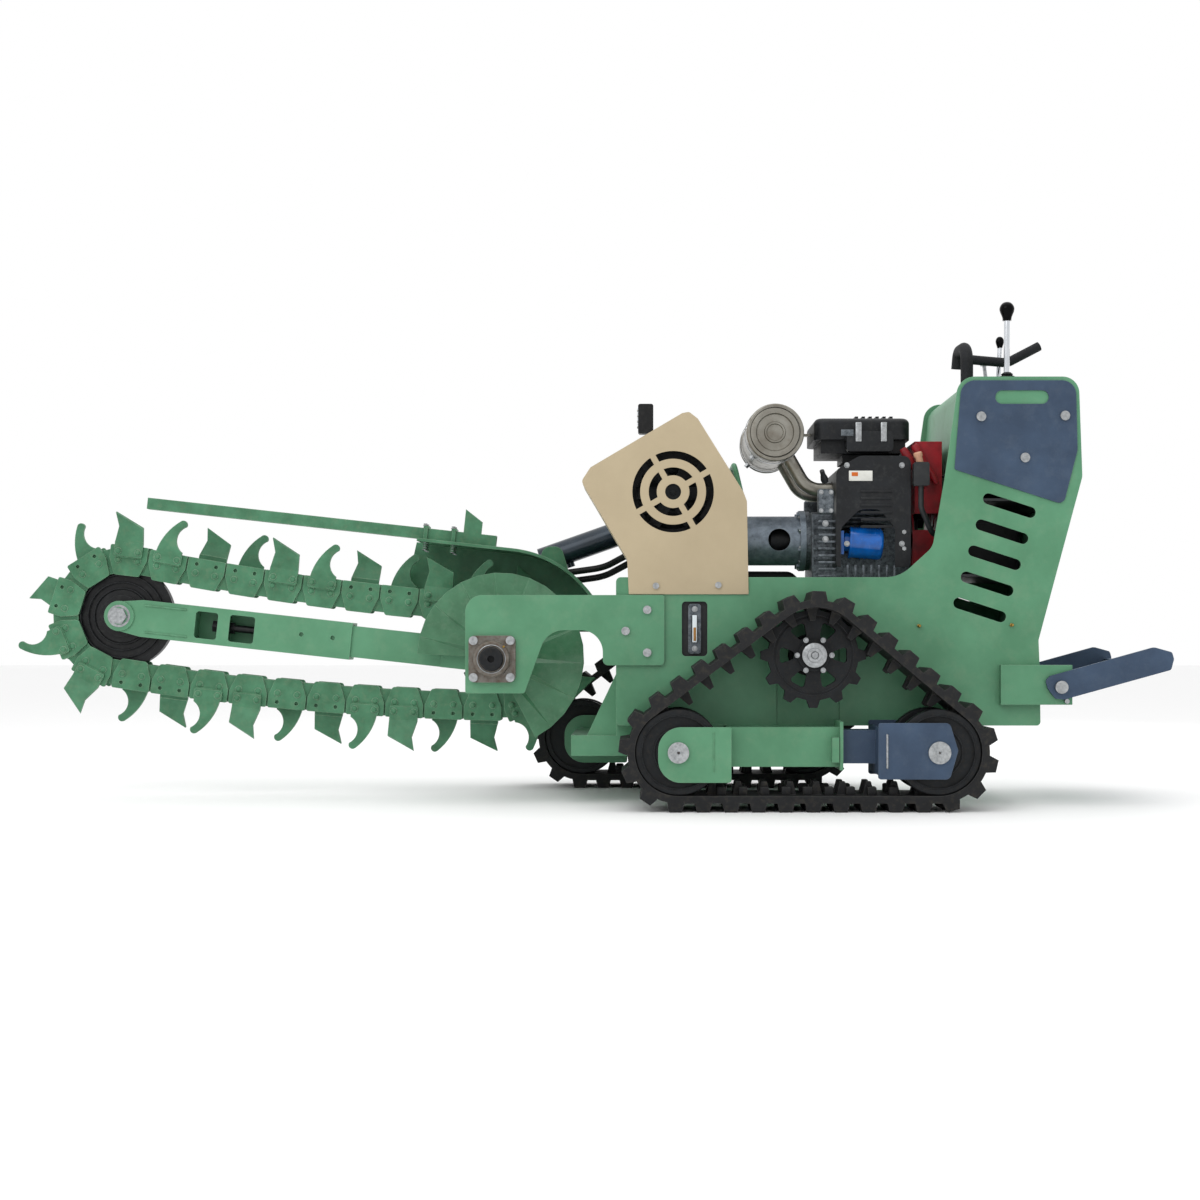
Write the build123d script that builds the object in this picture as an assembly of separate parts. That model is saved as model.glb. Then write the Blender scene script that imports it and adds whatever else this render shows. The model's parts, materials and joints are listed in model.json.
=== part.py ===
from build123d import *
import math
import os

# A tracked pedestrian trencher. Millimetres, +X towards the operator's end, -X towards the
# digging nose, +Y away from the near track, +Z up. The model is drawn with X = 0 near the
# front of the chassis and is moved at the end, so that the origin is the middle of its
# footprint on the ground.

# ---------------------------------------------------------------- driving dimensions
CHASSIS_WIDTH = 524.0       # over the outer faces of the two side plates
PLATE = 6.0                 # side plates and welded panels
CHASSIS_FRONT = -60.0       # front edge of the side plates
CHASSIS_BOTTOM = 200.0      # lower edge of the side plates
DECK_Z = 572.0              # upper edge of the low part of the side plates
TOWER_TOP = 1075.0          # top of the console

HEAD_X = -369.0             # headshaft axis, which is also the boom's hinge
HEAD_Z = 367.0
SHAFT_R = 30.0              # headshaft radius
BOOM_LENGTH = 1036.0        # headshaft axis to nose axle
BOOM_RISE = 6.26            # slope of the raised boom in degrees
BOOM_Y = 95.0               # middle plane of the boom and chain
AUGER_R = 225.0             # outer radius of the spoil auger
AUGER_START_Y = -190.0
AUGER_PITCH = 310.0
AUGER_TURN = 240.0          # degrees of flight

NOSE_PITCH_R = 152.0        # chain pin circle at the nose roller
HEAD_PITCH_R = 128.7        # chain pin circle at the drive sprocket
CHAIN_SAG = 18.0
CHAIN_LINKS = 56            # pitches in the loop, an even number
PIN_R = 9.0
BUSH_R = 12.0
LINK_HEIGHT = 81.0
LINK_PLATE = 8.0
CUTTER_RISE = 95.0          # cutter tip above the link plate's edge
CUTTER_REACH = 60.0         # half width of the trench that the cutters make

GUARD_R = 290.0             # inside of the chain guard about the headshaft
GUARD_SHEET = 4.0

TRACK_WIDTH = 180.0
TRACK_GAP = 14.0            # chassis side plate to belt edge
IDLER_R = 104.0
IDLER_Z = 144.0
FRONT_IDLER_X = 92.0
REAR_IDLER_X = 717.0
SPROCKET_X = 423.5
SPROCKET_Z = 377.0
SPROCKET_ROOT_R = 115.0
SPROCKET_TEETH = 12
BELT = 18.0                 # belt carcass thickness
TREADS = 33
FAR_TRACK_SHIFT = -255.0    # the far undercarriage sits this much further forward

CYLINDER_ANGLE = 19.4       # slope of the lift cylinder with the boom raised
CYLINDER_CLOSED = 480.0     # between its pivots with the boom raised
CYLINDER_R = 34.0

CRANK_Z = 678.0             # crankshaft axis, along X
MUFFLER_X = 347.0
MUFFLER_Z = 947.0
MUFFLER_R = 74.0

PLATFORM_X = 1047.0         # platform hinge
PLATFORM_Z = 297.0
PLATFORM_LENGTH = 290.0
PLATFORM_TILT = 15.5

# ---------------------------------------------------------------- clearances
RUN = 0.05                  # shaft in a bearing
LOOSE = 0.4                 # moving pieces that pass close by
SEAT = 0.2                  # a pin or bolt in its hole
SHANK = 0.55                # bolt shank over bolt head

# ---------------------------------------------------------------- derived places
SIDE_Y = CHASSIS_WIDTH / 2
INNER_Y = SIDE_Y - PLATE
TRACK_Y = SIDE_Y + TRACK_GAP + TRACK_WIDTH / 2
BRACKET = 10.0                                   # headshaft bracket plate
BRACKET_Y = SIDE_Y + BRACKET
BELT_IN = LOOSE / 2                              # belt inner face to wheel rim
TREAD = IDLER_Z - IDLER_R - BELT_IN - BELT       # tread height down to the ground
RISE = math.radians(BOOM_RISE)
BOOM_FRAME = Plane(origin=(HEAD_X, BOOM_Y, HEAD_Z), x_dir=(-math.cos(RISE), 0, math.sin(RISE)),
                   z_dir=(0, 1, 0))


# ---------------------------------------------------------------- small helpers
def block(x0, x1, y0, y1, z0, z1):
    """A box between two corners."""
    return Pos((x0 + x1) / 2, (y0 + y1) / 2, (z0 + z1) / 2) * Box(x1 - x0, y1 - y0, z1 - z0)


def rod_y(x, z, radius, y0, y1):
    """A cylinder along Y."""
    return Pos(x, (y0 + y1) / 2, z) * Rot(90, 0, 0) * Cylinder(radius, y1 - y0)


def rod_x(y, z, radius, x0, x1):
    """A cylinder along X."""
    return Pos((x0 + x1) / 2, y, z) * Rot(0, 90, 0) * Cylinder(radius, x1 - x0)


def rod_z(x, y, radius, z0, z1):
    """A cylinder along Z."""
    return Pos(x, y, (z0 + z1) / 2) * Cylinder(radius, z1 - z0)


def outline(points, radii=0):
    """A flat face from corner points, each corner with its own radius."""
    if radii == 0:
        return make_face(Polyline(*points, close=True))
    return make_face(FilletPolyline(*points, radius=radii, close=True))


def side_plate(face, y0, y1):
    """A face drawn in X and Z, made solid between two Y values."""
    solid = extrude(face, amount=y1 - y0, dir=(0, 0, 1))
    return Plane(origin=(0, y1, 0), x_dir=(1, 0, 0), z_dir=(0, -1, 0)).location * solid


def flat(points, y0, y1, radii=0):
    """A plate in X and Z between two Y values."""
    return side_plate(outline(points, radii), y0, y1)


def boom_flat(points, w0, w1, radii=0):
    """A plate drawn along and above the boom, between two offsets from its middle plane."""
    return Pos(0, 0, w0) * extrude(outline(points, radii), amount=w1 - w0, dir=(0, 0, 1))


def boom_block(u0, u1, v0, v1, w0, w1):
    """A box in the boom's own directions: along, above and across."""
    return block(u0, u1, v0, v1, w0, w1)


def boom_rod(u, v, radius, w0, w1):
    """A cylinder across the boom."""
    return Pos(u, v, (w0 + w1) / 2) * Cylinder(radius, w1 - w0)


def on_boom(shape):
    """Moves a shape from the boom's own directions to the machine."""
    return BOOM_FRAME.location * shape


def both_sides(shape):
    """A shape and its mirror image on the other side of the machine."""
    return [shape, mirror(shape, about=Plane.XZ)]


def group(shapes):
    """Separate solids in one node."""
    solids = []
    for shape in shapes:
        solids.extend(shape.solids())
    return Compound(solids)


def bolt_y(x, z, radius, y_seat, y_end, head):
    """A dome-headed bolt along Y: the head stands on y_seat, away from the shank's end."""
    out = -1 if y_end > y_seat else 1
    shank = rod_y(x, z, radius * SHANK, min(y_seat, y_end), max(y_seat, y_end))
    y_head = y_seat + out * head
    return shank + rod_y(x, z, radius, min(y_seat, y_head), max(y_seat, y_head))


# ---------------------------------------------------------------- chassis
def tower_points(inset=0.0):
    """Console outline above the deck, front edge first, anticlockwise from the deck's front."""
    return [
        (651 + inset, DECK_Z), (734 + inset, 648), (764 + inset, 821),
        (800 + inset, TOWER_TOP - inset), (1100 - inset, TOWER_TOP - inset),
        (1109 - inset, 824), (1046 - inset, 590), (999 - inset, 414),
    ]


VENTS = 5
VENT_WIDTH = 27.6
VENT_SLOPE = -18.0
MOTOR_CUT = (342.0, 500.0, 455.0)      # drive motor opening: front, rear, top
GAUGE = (105.0, 169.0, 374.0, 511.0)   # window for the oil level gauge
PLATFORM_BOX = (900.0, 1078.0, 253.0, 352.0)
PLATFORM_BOX_DEPTH = 24.0


def vent_slots(y0, y1):
    """Five sloping air slots, one above the other."""
    cuts = []
    for n in range(VENTS):
        x = 926 - 18.6 * n
        z = 751.5 - 65.4 * n
        slot = SlotOverall(110 + VENT_WIDTH, VENT_WIDTH)
        cuts.append(side_plate(Pos(x, z) * Rot(0, 0, VENT_SLOPE) * slot, y0, y1))
    return cuts


def chassis_side(sign):
    """One welded side plate with its console and platform bracket; sign -1 is the near side."""
    motor_x = 0 if sign < 0 else FAR_TRACK_SHIFT
    points = [(CHASSIS_FRONT, CHASSIS_BOTTOM), (CHASSIS_FRONT, DECK_Z)] + tower_points()
    points += [(1002, 344), (1004, CHASSIS_BOTTOM)]
    radii = [14, 12, 90, 40, 60, 45, 42, 40, 12, 20, 12, 10]
    plate = flat(points, -SIDE_Y, -INNER_Y, radii)
    front, rear, top = MOTOR_CUT
    motor_cut = [(front, 150), (front, top), (rear, top), (rear, 150)]
    motor_cut = [(x + motor_x, z) for x, z in motor_cut]
    plate -= flat(motor_cut, -SIDE_Y - 1, -INNER_Y + 1, [0, 30, 30, 0])
    for cut in vent_slots(-SIDE_Y - 1, -INNER_Y + 1):
        plate -= cut
    if sign < 0:
        x0, x1, z0, z1 = GAUGE
        window = [(x0, z0), (x0, z1), (x1, z1), (x1, z0)]
        plate -= flat(window, -SIDE_Y - 1, -INNER_Y + 1, 10)
    x0, x1, z0, z1 = PLATFORM_BOX
    bracket = block(x0, x1, -SIDE_Y - PLATFORM_BOX_DEPTH, -SIDE_Y, z0, z1)
    wall = 5
    bracket -= block(x0 + wall, x1 - wall, -SIDE_Y - PLATFORM_BOX_DEPTH + wall, -SIDE_Y - wall / 2,
                     z0 - 1, z1 - wall)
    plate += bracket
    plate -= rod_y(PLATFORM_X, PLATFORM_Z, 10 + SEAT, -SIDE_Y - 60, -INNER_Y + 60)
    return plate if sign < 0 else mirror(plate, about=Plane.XZ)


def belly_frame():
    """Floor pan, front bulkhead, front box and the cross tubes that carry the tracks."""
    y = INNER_Y
    parts = [block(CHASSIS_FRONT, 1000, -y, y, CHASSIS_BOTTOM, CHASSIS_BOTTOM + PLATE)]
    parts.append(block(CHASSIS_FRONT, CHASSIS_FRONT + PLATE, -y, y, CHASSIS_BOTTOM, DECK_Z - 30))
    parts.append(block(994, 1000, -y, y, CHASSIS_BOTTOM, 410))
    box_front, box_top = -175, 172
    parts.append(block(box_front, CHASSIS_FRONT + PLATE, -200, 200, 120, box_top))
    wedge = [(box_front + 40, box_top), (CHASSIS_FRONT, 330), (CHASSIS_FRONT, box_top)]
    parts += [flat(wedge, y0, y0 + PLATE) for y0 in (-190, 184)]
    lower = [(CHASSIS_FRONT, 172), (CHASSIS_FRONT, CHASSIS_BOTTOM), (40, CHASSIS_BOTTOM), (-20, 120),
             (CHASSIS_FRONT, 120)]
    parts.append(flat(lower, -200, 200))
    frame = parts[0]
    for part in parts[1:]:
        frame += part
    frame -= block(box_front + PLATE, CHASSIS_FRONT - PLATE, -194, 194, 126, box_top - PLATE)
    beam_in = TRACK_Y - BEAM_HALF
    for sign, shift in ((-1, 0.0), (1, FAR_TRACK_SHIFT)):
        for x in (250.0, 400.0):
            x0 = x + shift
            inner = beam_in * sign
            tube = block(x0, x0 + 50, min(inner, -sign * y), max(inner, -sign * y), 150,
                         CHASSIS_BOTTOM)
            tube -= block(x0 + 5, x0 + 45, min(inner, -sign * y) - 1, max(inner, -sign * y) + 1, 155,
                          CHASSIS_BOTTOM - 5)
            frame += tube
    for sign, shift in ((-1, 0.0), (1, FAR_TRACK_SHIFT)):
        x = SPROCKET_X + shift
        y0, y1 = sorted((sign * INNER_Y, sign * (INNER_Y - 10)))
        seat = block(x - 95, x + 95, y0, y1, CHASSIS_BOTTOM + PLATE, 480)
        seat -= rod_y(x, SPROCKET_Z, 52, y0 - 1, y1 + 1)
        frame += seat
    return frame


def tower_shell():
    """Console panels that join the side plates: front, top and back, folded from one sheet."""
    top = PANEL_TOP - PANEL / 2
    outer = [(PANEL_X, DECK_Z), (PANEL_X, 900), (PANEL_X + 12, top), (1092, top), (1100, 824), (1038, 592),
             (993, 430)]
    path = FilletPolyline(*outer, radius=[60, 45, 40, 40, 30])
    shell = side_plate(trace(path, PANEL), -INNER_Y, INNER_Y)
    for x, y, dx, dy in LEVER_SLOTS:
        shell -= block(x - dx, x + dx, y - dy, y + dy, TOWER_TOP - 40, TOWER_TOP + 10)
    shell -= rod_z(FILLER[0], FILLER[1], FILLER_R + 1, TOWER_TOP - 40, TOWER_TOP + 10)
    shell -= rod_z(GRIP_X, GRIP_Y, GRIP_R + 1, TOWER_TOP - 40, TOWER_TOP + 10)
    return shell


def engine_deck():
    """Cross plate that the engine stands on, with its two rails."""
    deck = block(250, 800, -INNER_Y, INNER_Y, DECK_Z - 40, DECK_Z - 34)
    for y in (-110, 110):
        deck += block(300, 780, y - 20, y + 20, DECK_Z - 34, DECK_Z - 14)
    return deck


def tower_cover_plates():
    """Dark cover plates on the outside of the console, both sides, with a blind slot."""
    gap = 10
    points = [(788, 842), (806, TOWER_TOP - gap), (1092, TOWER_TOP - gap), (1096, 890), (1061, 754)]
    cover = flat(points, -SIDE_Y - 4, -SIDE_Y, [6, 36, 36, 30, 16])
    slot = Pos(957, 1023) * SlotOverall(134, 34)
    cover -= side_plate(slot, -SIDE_Y - 5, -SIDE_Y + 1)
    for x, z in COVER_BOLTS:
        cover -= rod_y(x, z, COVER_BOLT_R * SHANK + SEAT, -SIDE_Y - 5, -SIDE_Y + 1)
    return group(both_sides(cover))


COVER_BOLT_R = 12.0
PANEL = 3.0                 # console sheet
PANEL_TOP = TOWER_TOP - 6.5
PANEL_X = 796.0             # console front panel, just behind the engine
FILLER = (1020.0, 150.0)
FILLER_R = 22.0
GRIP_X = 840.0
GRIP_Y = -150.0
GRIP_R = 16.0
COVER_BOLTS = ((854, 974), (1064, 976), (964, 871))
LEVER_SLOTS = ((942, -180, 40, 8), (943, -60, 32, 7), (917, 20, 26, 7))


def oil_level_gauge():
    """Sight gauge on the oil tank, seen through the window in the near side plate."""
    x0, x1, z0, z1 = GAUGE
    x = (x0 + x1) / 2
    face = [(x - 16, z0 + 6), (x - 16, z1 - 6), (x + 16, z1 - 6), (x + 16, z0 + 6)]
    body = flat(face, -TANK_Y - 14, -TANK_Y, 8)
    glass = [(x - 8, z0 + 34), (x - 8, z1 - 34), (x + 8, z1 - 34), (x + 8, z0 + 34)]
    body -= flat(glass, -TANK_Y - 15, -TANK_Y - 8, 5)
    for z in (z0 + 20, z1 - 20):
        body += rod_y(x, z, 7, -TANK_Y - 18, -TANK_Y - 14)
    return body


TANK_Y = INNER_Y - 6


def oil_tank():
    """Hydraulic oil tank low in the chassis, with its filler neck."""
    tank = block(20, 235, -TANK_Y, 60, 330, 520)
    tank = fillet(tank.edges().filter_by(Axis.Y), 18)
    tank += rod_z(120, -60, 26, 520, 545)
    tank += rod_z(120, -60, 34, 545, 562)
    for x in (40, 195):
        tank += block(x, x + 20, -180, 40, CHASSIS_BOTTOM + PLATE, 331)
    return tank


def cooler_cover():
    """Folded casing over the oil cooler, with ring-shaped vents in its outer face."""
    y0 = -SIDE_Y - 4
    points = [(-28, 529), (-32, 617), (-147, 812), (-124, 847), (106, 983), (123, 986),
              (145, 969), (259, 786), (268, 762), (272, 529)]
    radii = [2, 20, 14, 10, 8, 8, 8, 8, 8, 2]
    face = outline(points, radii)
    casing = side_plate(face, y0, COVER_BACK)
    hollow = side_plate(offset(face, -3.0), y0 + 3, COVER_BACK + 1)
    casing -= hollow
    casing -= block(-200, 300, -SIDE_Y, COVER_BACK + 1, 500, DECK_Z + 3)
    x, z = 83, 786
    vents = ring(x, z, 82.5, 102, y0 - 1, y0 + 5) + ring(x, z, 41, 61, y0 - 1, y0 + 5)
    bars = [Pos(x, y0, z) * Rot(0, -angle, 0) * Box(230, 12, 15) for angle in (30, 120)]
    vents = vents - bars[0] - bars[1]
    casing = casing - vents - rod_y(x, z, 20, y0 - 1, y0 + 5)
    for bx, bz in COVER_SCREWS:
        casing -= rod_y(bx, bz, COVER_SCREW_R * SHANK + SEAT, y0 - 1, y0 + 5)
    return casing


COVER_BACK = -96.0
COVER_SCREW_R = 8.0
COVER_SCREWS = ((40, 550), (196, 552))


def ring(x, z, inner, outer, y0, y1):
    """A ring about an axis along Y."""
    return rod_y(x, z, outer, y0, y1) - rod_y(x, z, inner, y0 - 1, y1 + 1)


def oil_cooler():
    """Radiator core with end tanks, standing behind the vents, and its two feet."""
    x0, x1, z0, z1 = -20.0, 190.0, 660.0, 880.0
    core = block(x0, x1, -190, -150, z0, z1)
    for n in range(10):
        z = z0 + 22 + n * 21
        core -= block(x0 + 20, x1 - 20, -191, -178, z, z + 12)
        core -= block(x0 + 20, x1 - 20, -162, -149, z, z + 12)
    core += block(x0 + 10, x0 + 40, -185, -155, DECK_Z + 3, z0)
    core += block(x1 - 40, x1 - 10, -185, -155, DECK_Z + 3, z0)
    core += block(x0, x1, -200, -150, DECK_Z - 3, DECK_Z + 3)
    return core + block(x0, x1, -INNER_Y, -200, DECK_Z - 3, DECK_Z + 3)


FAN_X = 83.0
FAN_Z = 786.0


def cooler_fan():
    """Fan with six pitched blades that draws air through the cooler."""
    fan = rod_y(FAN_X, FAN_Z, 26, -232, -200)
    for n in range(6):
        blade = Pos(FAN_X, -217, FAN_Z) * Rot(0, 60 * n, 0) * Pos(56, 0, 0) * Rot(28, 0, 0)
        fan += blade * Box(72, 3, 34)
    fan -= rod_y(FAN_X, FAN_Z, 6 + RUN, -233, -199)
    return fan


def fan_mount():
    """Spider on the cooler that carries the fan's fixed spindle."""
    spider = rod_y(FAN_X, FAN_Z, 22, -199.6, -190)
    spider += rod_y(FAN_X, FAN_Z, 6, -240, -199)
    for angle in (45, 135):
        arm = Pos(FAN_X, -194, FAN_Z) * Rot(0, angle, 0) * Box(290, 6, 14)
        spider += arm
    return spider


def lifting_bail():
    """Bent round bar that the machine is slung from, welded to the deck."""
    y = 80
    path = FilletPolyline((262, -y, DECK_Z - 34), (262, -y, 805), (246, -y, 872), (246, y, 872),
                          (262, y, 805), (262, y, DECK_Z - 34), radius=[30, 22, 22, 30])
    return sweep(Plane(origin=path @ 0, z_dir=path % 0) * Circle(7), path=path)


def work_lamp():
    """Small lamp on a flat stalk behind the cooler casing."""
    lamp = block(-5, 35, -62, -30, 956, 1034)
    lamp = fillet(lamp.edges().filter_by(Axis.Y), 6)
    lamp += block(22, 32, -52, -46, 520, 960) + block(22, 70, -60, -38, 520, 524)
    return lamp


# ---------------------------------------------------------------- headshaft and auger
BEARING_SIZE = 117.0
BEARING_BOLTS = 92.0
BEARING_DEPTH = 34.0
BEARING_BOLT_R = 11.0
BRACKET_BOLT_R = 10.5
BRACKET_BOLTS = ((18, 490), (-36, 437), (18, 383))
PIVOT_R = 44.0              # fixed sleeve on the far bracket that the boom turns on


def headshaft_bracket(sign):
    """Bracket plate bolted outside a side plate, reaching forward to a flange bearing."""
    points = [(-437, 281), (-437, 527), (61, 527), (61, 351), (-93, 351), (-93, 439), (-232, 439),
              (-289, 281)]
    plate = flat(points, -BRACKET_Y, -SIDE_Y, [6, 43, 6, 10, 14, 55, 60, 8])
    plate -= rod_y(HEAD_X, HEAD_Z, SHAFT_R + 3, -BRACKET_Y - 1, -SIDE_Y + 1)
    for x, z in BRACKET_BOLTS:
        plate -= rod_y(x, z, BRACKET_BOLT_R * SHANK + SEAT, -BRACKET_Y - 1, -SIDE_Y + 1)
    for x, z in bearing_holes():
        plate -= rod_y(x, z, BEARING_BOLT_R * SHANK + SEAT, -BRACKET_Y - 1, -SIDE_Y + 1)
    plate = plate if sign < 0 else mirror(plate, about=Plane.XZ)
    if sign > 0:
        sleeve = rod_y(HEAD_X, HEAD_Z, PIVOT_R, BOOM_Y + FORK_W + 18, SIDE_Y)
        sleeve -= rod_y(HEAD_X, HEAD_Z, SHAFT_R + 3, 0, SIDE_Y + 1)
        plate += sleeve
    return plate


def bearing_holes():
    """The four bolt places of a flange bearing."""
    half = BEARING_BOLTS / 2
    return [(HEAD_X + dx, HEAD_Z + dz) for dx in (-half, half) for dz in (-half, half)]


def headshaft_bearings():
    """Square flange bearings that carry the headshaft on both brackets."""
    base = Pos(HEAD_X, -BRACKET_Y - 7, HEAD_Z) * Box(BEARING_SIZE, 14, BEARING_SIZE)
    base = fillet(base.edges().filter_by(Axis.Y), 16)
    base += rod_y(HEAD_X, HEAD_Z, 46, -BRACKET_Y - BEARING_DEPTH, -BRACKET_Y - 14)
    base = fillet(base.faces().sort_by(Axis.Y)[0].edges(), 6)
    base -= rod_y(HEAD_X, HEAD_Z, SHAFT_R + RUN, -BRACKET_Y - 60, -BRACKET_Y + 1)
    for x, z in bearing_holes():
        base -= rod_y(x, z, BEARING_BOLT_R * SHANK + SEAT, -BRACKET_Y - 15, -BRACKET_Y + 1)
    return group(both_sides(base))


def headshaft():
    """Driven shaft through both bearings, with its end collar and key flats."""
    y0 = -BRACKET_Y - BEARING_DEPTH - 12
    y1 = BRACKET_Y + BEARING_DEPTH + 8
    shaft = rod_y(HEAD_X, HEAD_Z, SHAFT_R, y0, y1)
    shaft = chamfer(shaft.edges().sort_by(Axis.Y)[0], 3)
    shaft -= rod_y(HEAD_X, HEAD_Z, 9, y0 - 1, y0 + 14)
    collar = rod_y(HEAD_X, HEAD_Z, SHAFT_R + 14, BOOM_Y - SPROCKET_HUB - 12, BOOM_Y - SPROCKET_HUB)
    return shaft + collar


SPROCKET_HUB = 20.0
CHAIN_TEETH = 15


def chain_sprocket():
    """Toothed wheel on the headshaft that drives the digging chain."""
    tip = HEAD_PITCH_R - BUSH_R - LOOSE
    teeth = []
    for n in range(CHAIN_TEETH):
        angle = 360 / CHAIN_TEETH * n
        tooth = [(-13, 0), (-7, tip - 2), (7, tip - 2), (13, 0)]
        teeth.append(Rot(0, 0, angle) * outline(tooth))
    face = Circle(tip - 16)
    for tooth in teeth:
        face += tooth
    wheel = Pos(0, 0, -12) * extrude(face, amount=24, dir=(0, 0, 1))
    wheel += Cylinder(52, 2 * SPROCKET_HUB)
    wheel -= Cylinder(SHAFT_R + RUN, 2 * SPROCKET_HUB + 2)
    for n in range(5):
        hole = Rot(0, 0, 72 * n) * Pos(74, 0, 0) * Cylinder(11, 40)
        wheel -= hole
    return on_boom(wheel)


AUGER_FACETS = 10
AUGER_PLATE = 8.0
AUGER_HUB_R = 46.0
AUGER_START = -63.0         # angle of the near end of the flight


def auger():
    """Spoil auger: a hub tube with a flight welded up from flat facets."""
    step = AUGER_TURN / AUGER_FACETS
    rise = AUGER_PITCH * AUGER_TURN / 360 / AUGER_FACETS
    hub = ring(HEAD_X, HEAD_Z, SHAFT_R + RUN, AUGER_HUB_R, AUGER_START_Y - 30,
               AUGER_START_Y + rise * AUGER_FACETS + 14)
    flight = hub
    inner = AUGER_HUB_R - 4
    for n in range(AUGER_FACETS):
        corners = []
        for radius, k in ((inner, n), (AUGER_R, n), (AUGER_R, n + 0.5), (AUGER_R, n + 1), (inner, n + 1)):
            angle = math.radians(AUGER_START + step * k)
            y = AUGER_START_Y + rise * k
            corners.append(Vector(HEAD_X + radius * math.cos(angle), y, HEAD_Z + radius * math.sin(angle)))
        flight += facet(corners)
    return flight


def facet(corners):
    """One flat flight facet with thickness along Y, as two triangles and a rim triangle."""
    slabs = []
    for a, b, c in ((0, 1, 2), (0, 2, 4), (4, 2, 3)):
        face = Face(Wire.make_polygon([corners[a], corners[b], corners[c]], close=True))
        slabs.append(extrude(face, amount=AUGER_PLATE, dir=(0, 1, 0)))
    return slabs[0] + slabs[1] + slabs[2]


# ---------------------------------------------------------------- chain loop
class Loop:
    """A closed path of tangent arcs: (centre, radius, start angle, signed sweep), radians."""

    def __init__(self, arcs):
        self.arcs = arcs
        self.lengths = [abs(sweep_angle) * radius for _, radius, _, sweep_angle in arcs]
        self.length = sum(self.lengths)

    def point(self, s):
        """The point at a distance along the loop."""
        s = s % self.length
        for (centre, radius, start, turn), length in zip(self.arcs, self.lengths):
            if s <= length:
                angle = start + turn * s / length
                return centre + Vector(math.cos(angle), math.sin(angle)) * radius
            s -= length
        return self.point(0)

    def next_pin(self, s, pitch):
        """The distance of the next point whose straight distance is one pitch."""
        low, high = s + pitch * 0.9, s + pitch * 1.2
        here = self.point(s)
        for _ in range(40):
            middle = (low + high) / 2
            if (self.point(middle) - here).length < pitch:
                low = middle
            else:
                high = middle
        return low

    def pins(self, count):
        """Evenly pitched points that close the loop, and their pitch."""
        low, high = self.length / count * 0.97, self.length / count
        for _ in range(40):
            pitch = (low + high) / 2
            s = 0.0
            for _ in range(count):
                s = self.next_pin(s, pitch)
            if s < self.length:
                low = pitch
            else:
                high = pitch
        s = 0.0
        points = []
        for _ in range(count):
            points.append(self.point(s))
            s = self.next_pin(s, pitch)
        return points, pitch


def angle_of(vector):
    return math.atan2(vector.Y, vector.X)


def circle_meeting(c1, r1, c2, r2, side):
    """The point at r1 from c1 and r2 from c2, on one side of the line between them."""
    d = (c2 - c1).length
    along = (d * d + r1 * r1 - r2 * r2) / (2 * d)
    across = math.sqrt(r1 * r1 - along * along)
    u = (c2 - c1).normalized()
    return c1 + u * along + Vector(-u.Y, u.X) * across * side


def chain_loop():
    """Pin line of the digging chain in the boom's directions: head at 0, nose at the far end."""
    head, nose = Vector(0, 0), Vector(BOOM_LENGTH, 0)
    big = BOOM_LENGTH ** 2 / (8 * CHAIN_SAG)
    upper = circle_meeting(head, big + HEAD_PITCH_R, nose, big + NOSE_PITCH_R, 1)
    lower = circle_meeting(head, big - HEAD_PITCH_R, nose, big - NOSE_PITCH_R, 1)
    up_head = angle_of(upper - head)
    up_nose = angle_of(upper - nose)
    low_head = angle_of(head - lower)
    low_nose = angle_of(nose - lower)
    turn = 2 * math.pi
    upper_start = up_head + math.pi
    upper_sweep = (up_nose + math.pi - upper_start)
    nose_sweep = -((up_nose - low_nose) % turn)
    lower_sweep = (low_head - low_nose)
    head_sweep = -((low_head - up_head) % turn)
    return Loop([
        (upper, big, upper_start, upper_sweep),
        (nose, NOSE_PITCH_R, up_nose, nose_sweep),
        (lower, big, low_nose, lower_sweep),
        (head, HEAD_PITCH_R, low_head, head_sweep),
    ])


def link_outline(pitch, shrink):
    """Link plate seen from the side: full corners outside, cut back towards the wheels."""
    half = pitch - 2.0 - shrink
    top = LINK_HEIGHT / 2 - shrink
    taper = half - 17
    return [(-half, 4), (-half, top), (half, top), (half, 4), (taper, -top), (-taper, -top)]


def link_place(a, b):
    """Middle of two pins, turned so that the link's outer edge points away from the loop."""
    middle = (a + b) * 0.5
    angle = math.degrees(angle_of(b - a))
    return Pos(middle.X, middle.Y, 0) * Rot(0, 0, angle)


ROLLER_HALF = 13.4
INNER_LAYER = (ROLLER_HALF + 0.3, ROLLER_HALF + 6.3)
OUTER_LAYER = (INNER_LAYER[1] + 0.3, INNER_LAYER[1] + 0.3 + LINK_PLATE)


def roller_link(pitch):
    """Inner link: two plates joined by two bushes that the pins turn in."""
    w0, w1 = INNER_LAYER
    link = boom_flat(link_outline(pitch, 7), w0, w1)
    link += boom_flat(link_outline(pitch, 7), -w1, -w0)
    for x in (-pitch / 2, pitch / 2):
        link += boom_rod(x, 0, BUSH_R, -w1, w1)
        link -= boom_rod(x, 0, PIN_R + SEAT, -w1 - 1, w1 + 1)
    return link


def pin_link(pitch):
    """Outer link: two plates with two riveted pins, and holes for a cutter's bolts."""
    w0, w1 = OUTER_LAYER
    link = boom_flat(link_outline(pitch, 0), w0, w1, [3, 5, 5, 3, 8, 8])
    link += boom_flat(link_outline(pitch, 0), -w1, -w0, [3, 5, 5, 3, 8, 8])
    for x in (-pitch / 2, pitch / 2):
        link += boom_rod(x, 0, PIN_R, -w1, w1)
        link -= boom_rod(x, CUTTER_BOLT_V, 5, -w1 - 1, w1 + 1)
    return link


CUTTER_BOLT_V = 24.0


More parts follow.
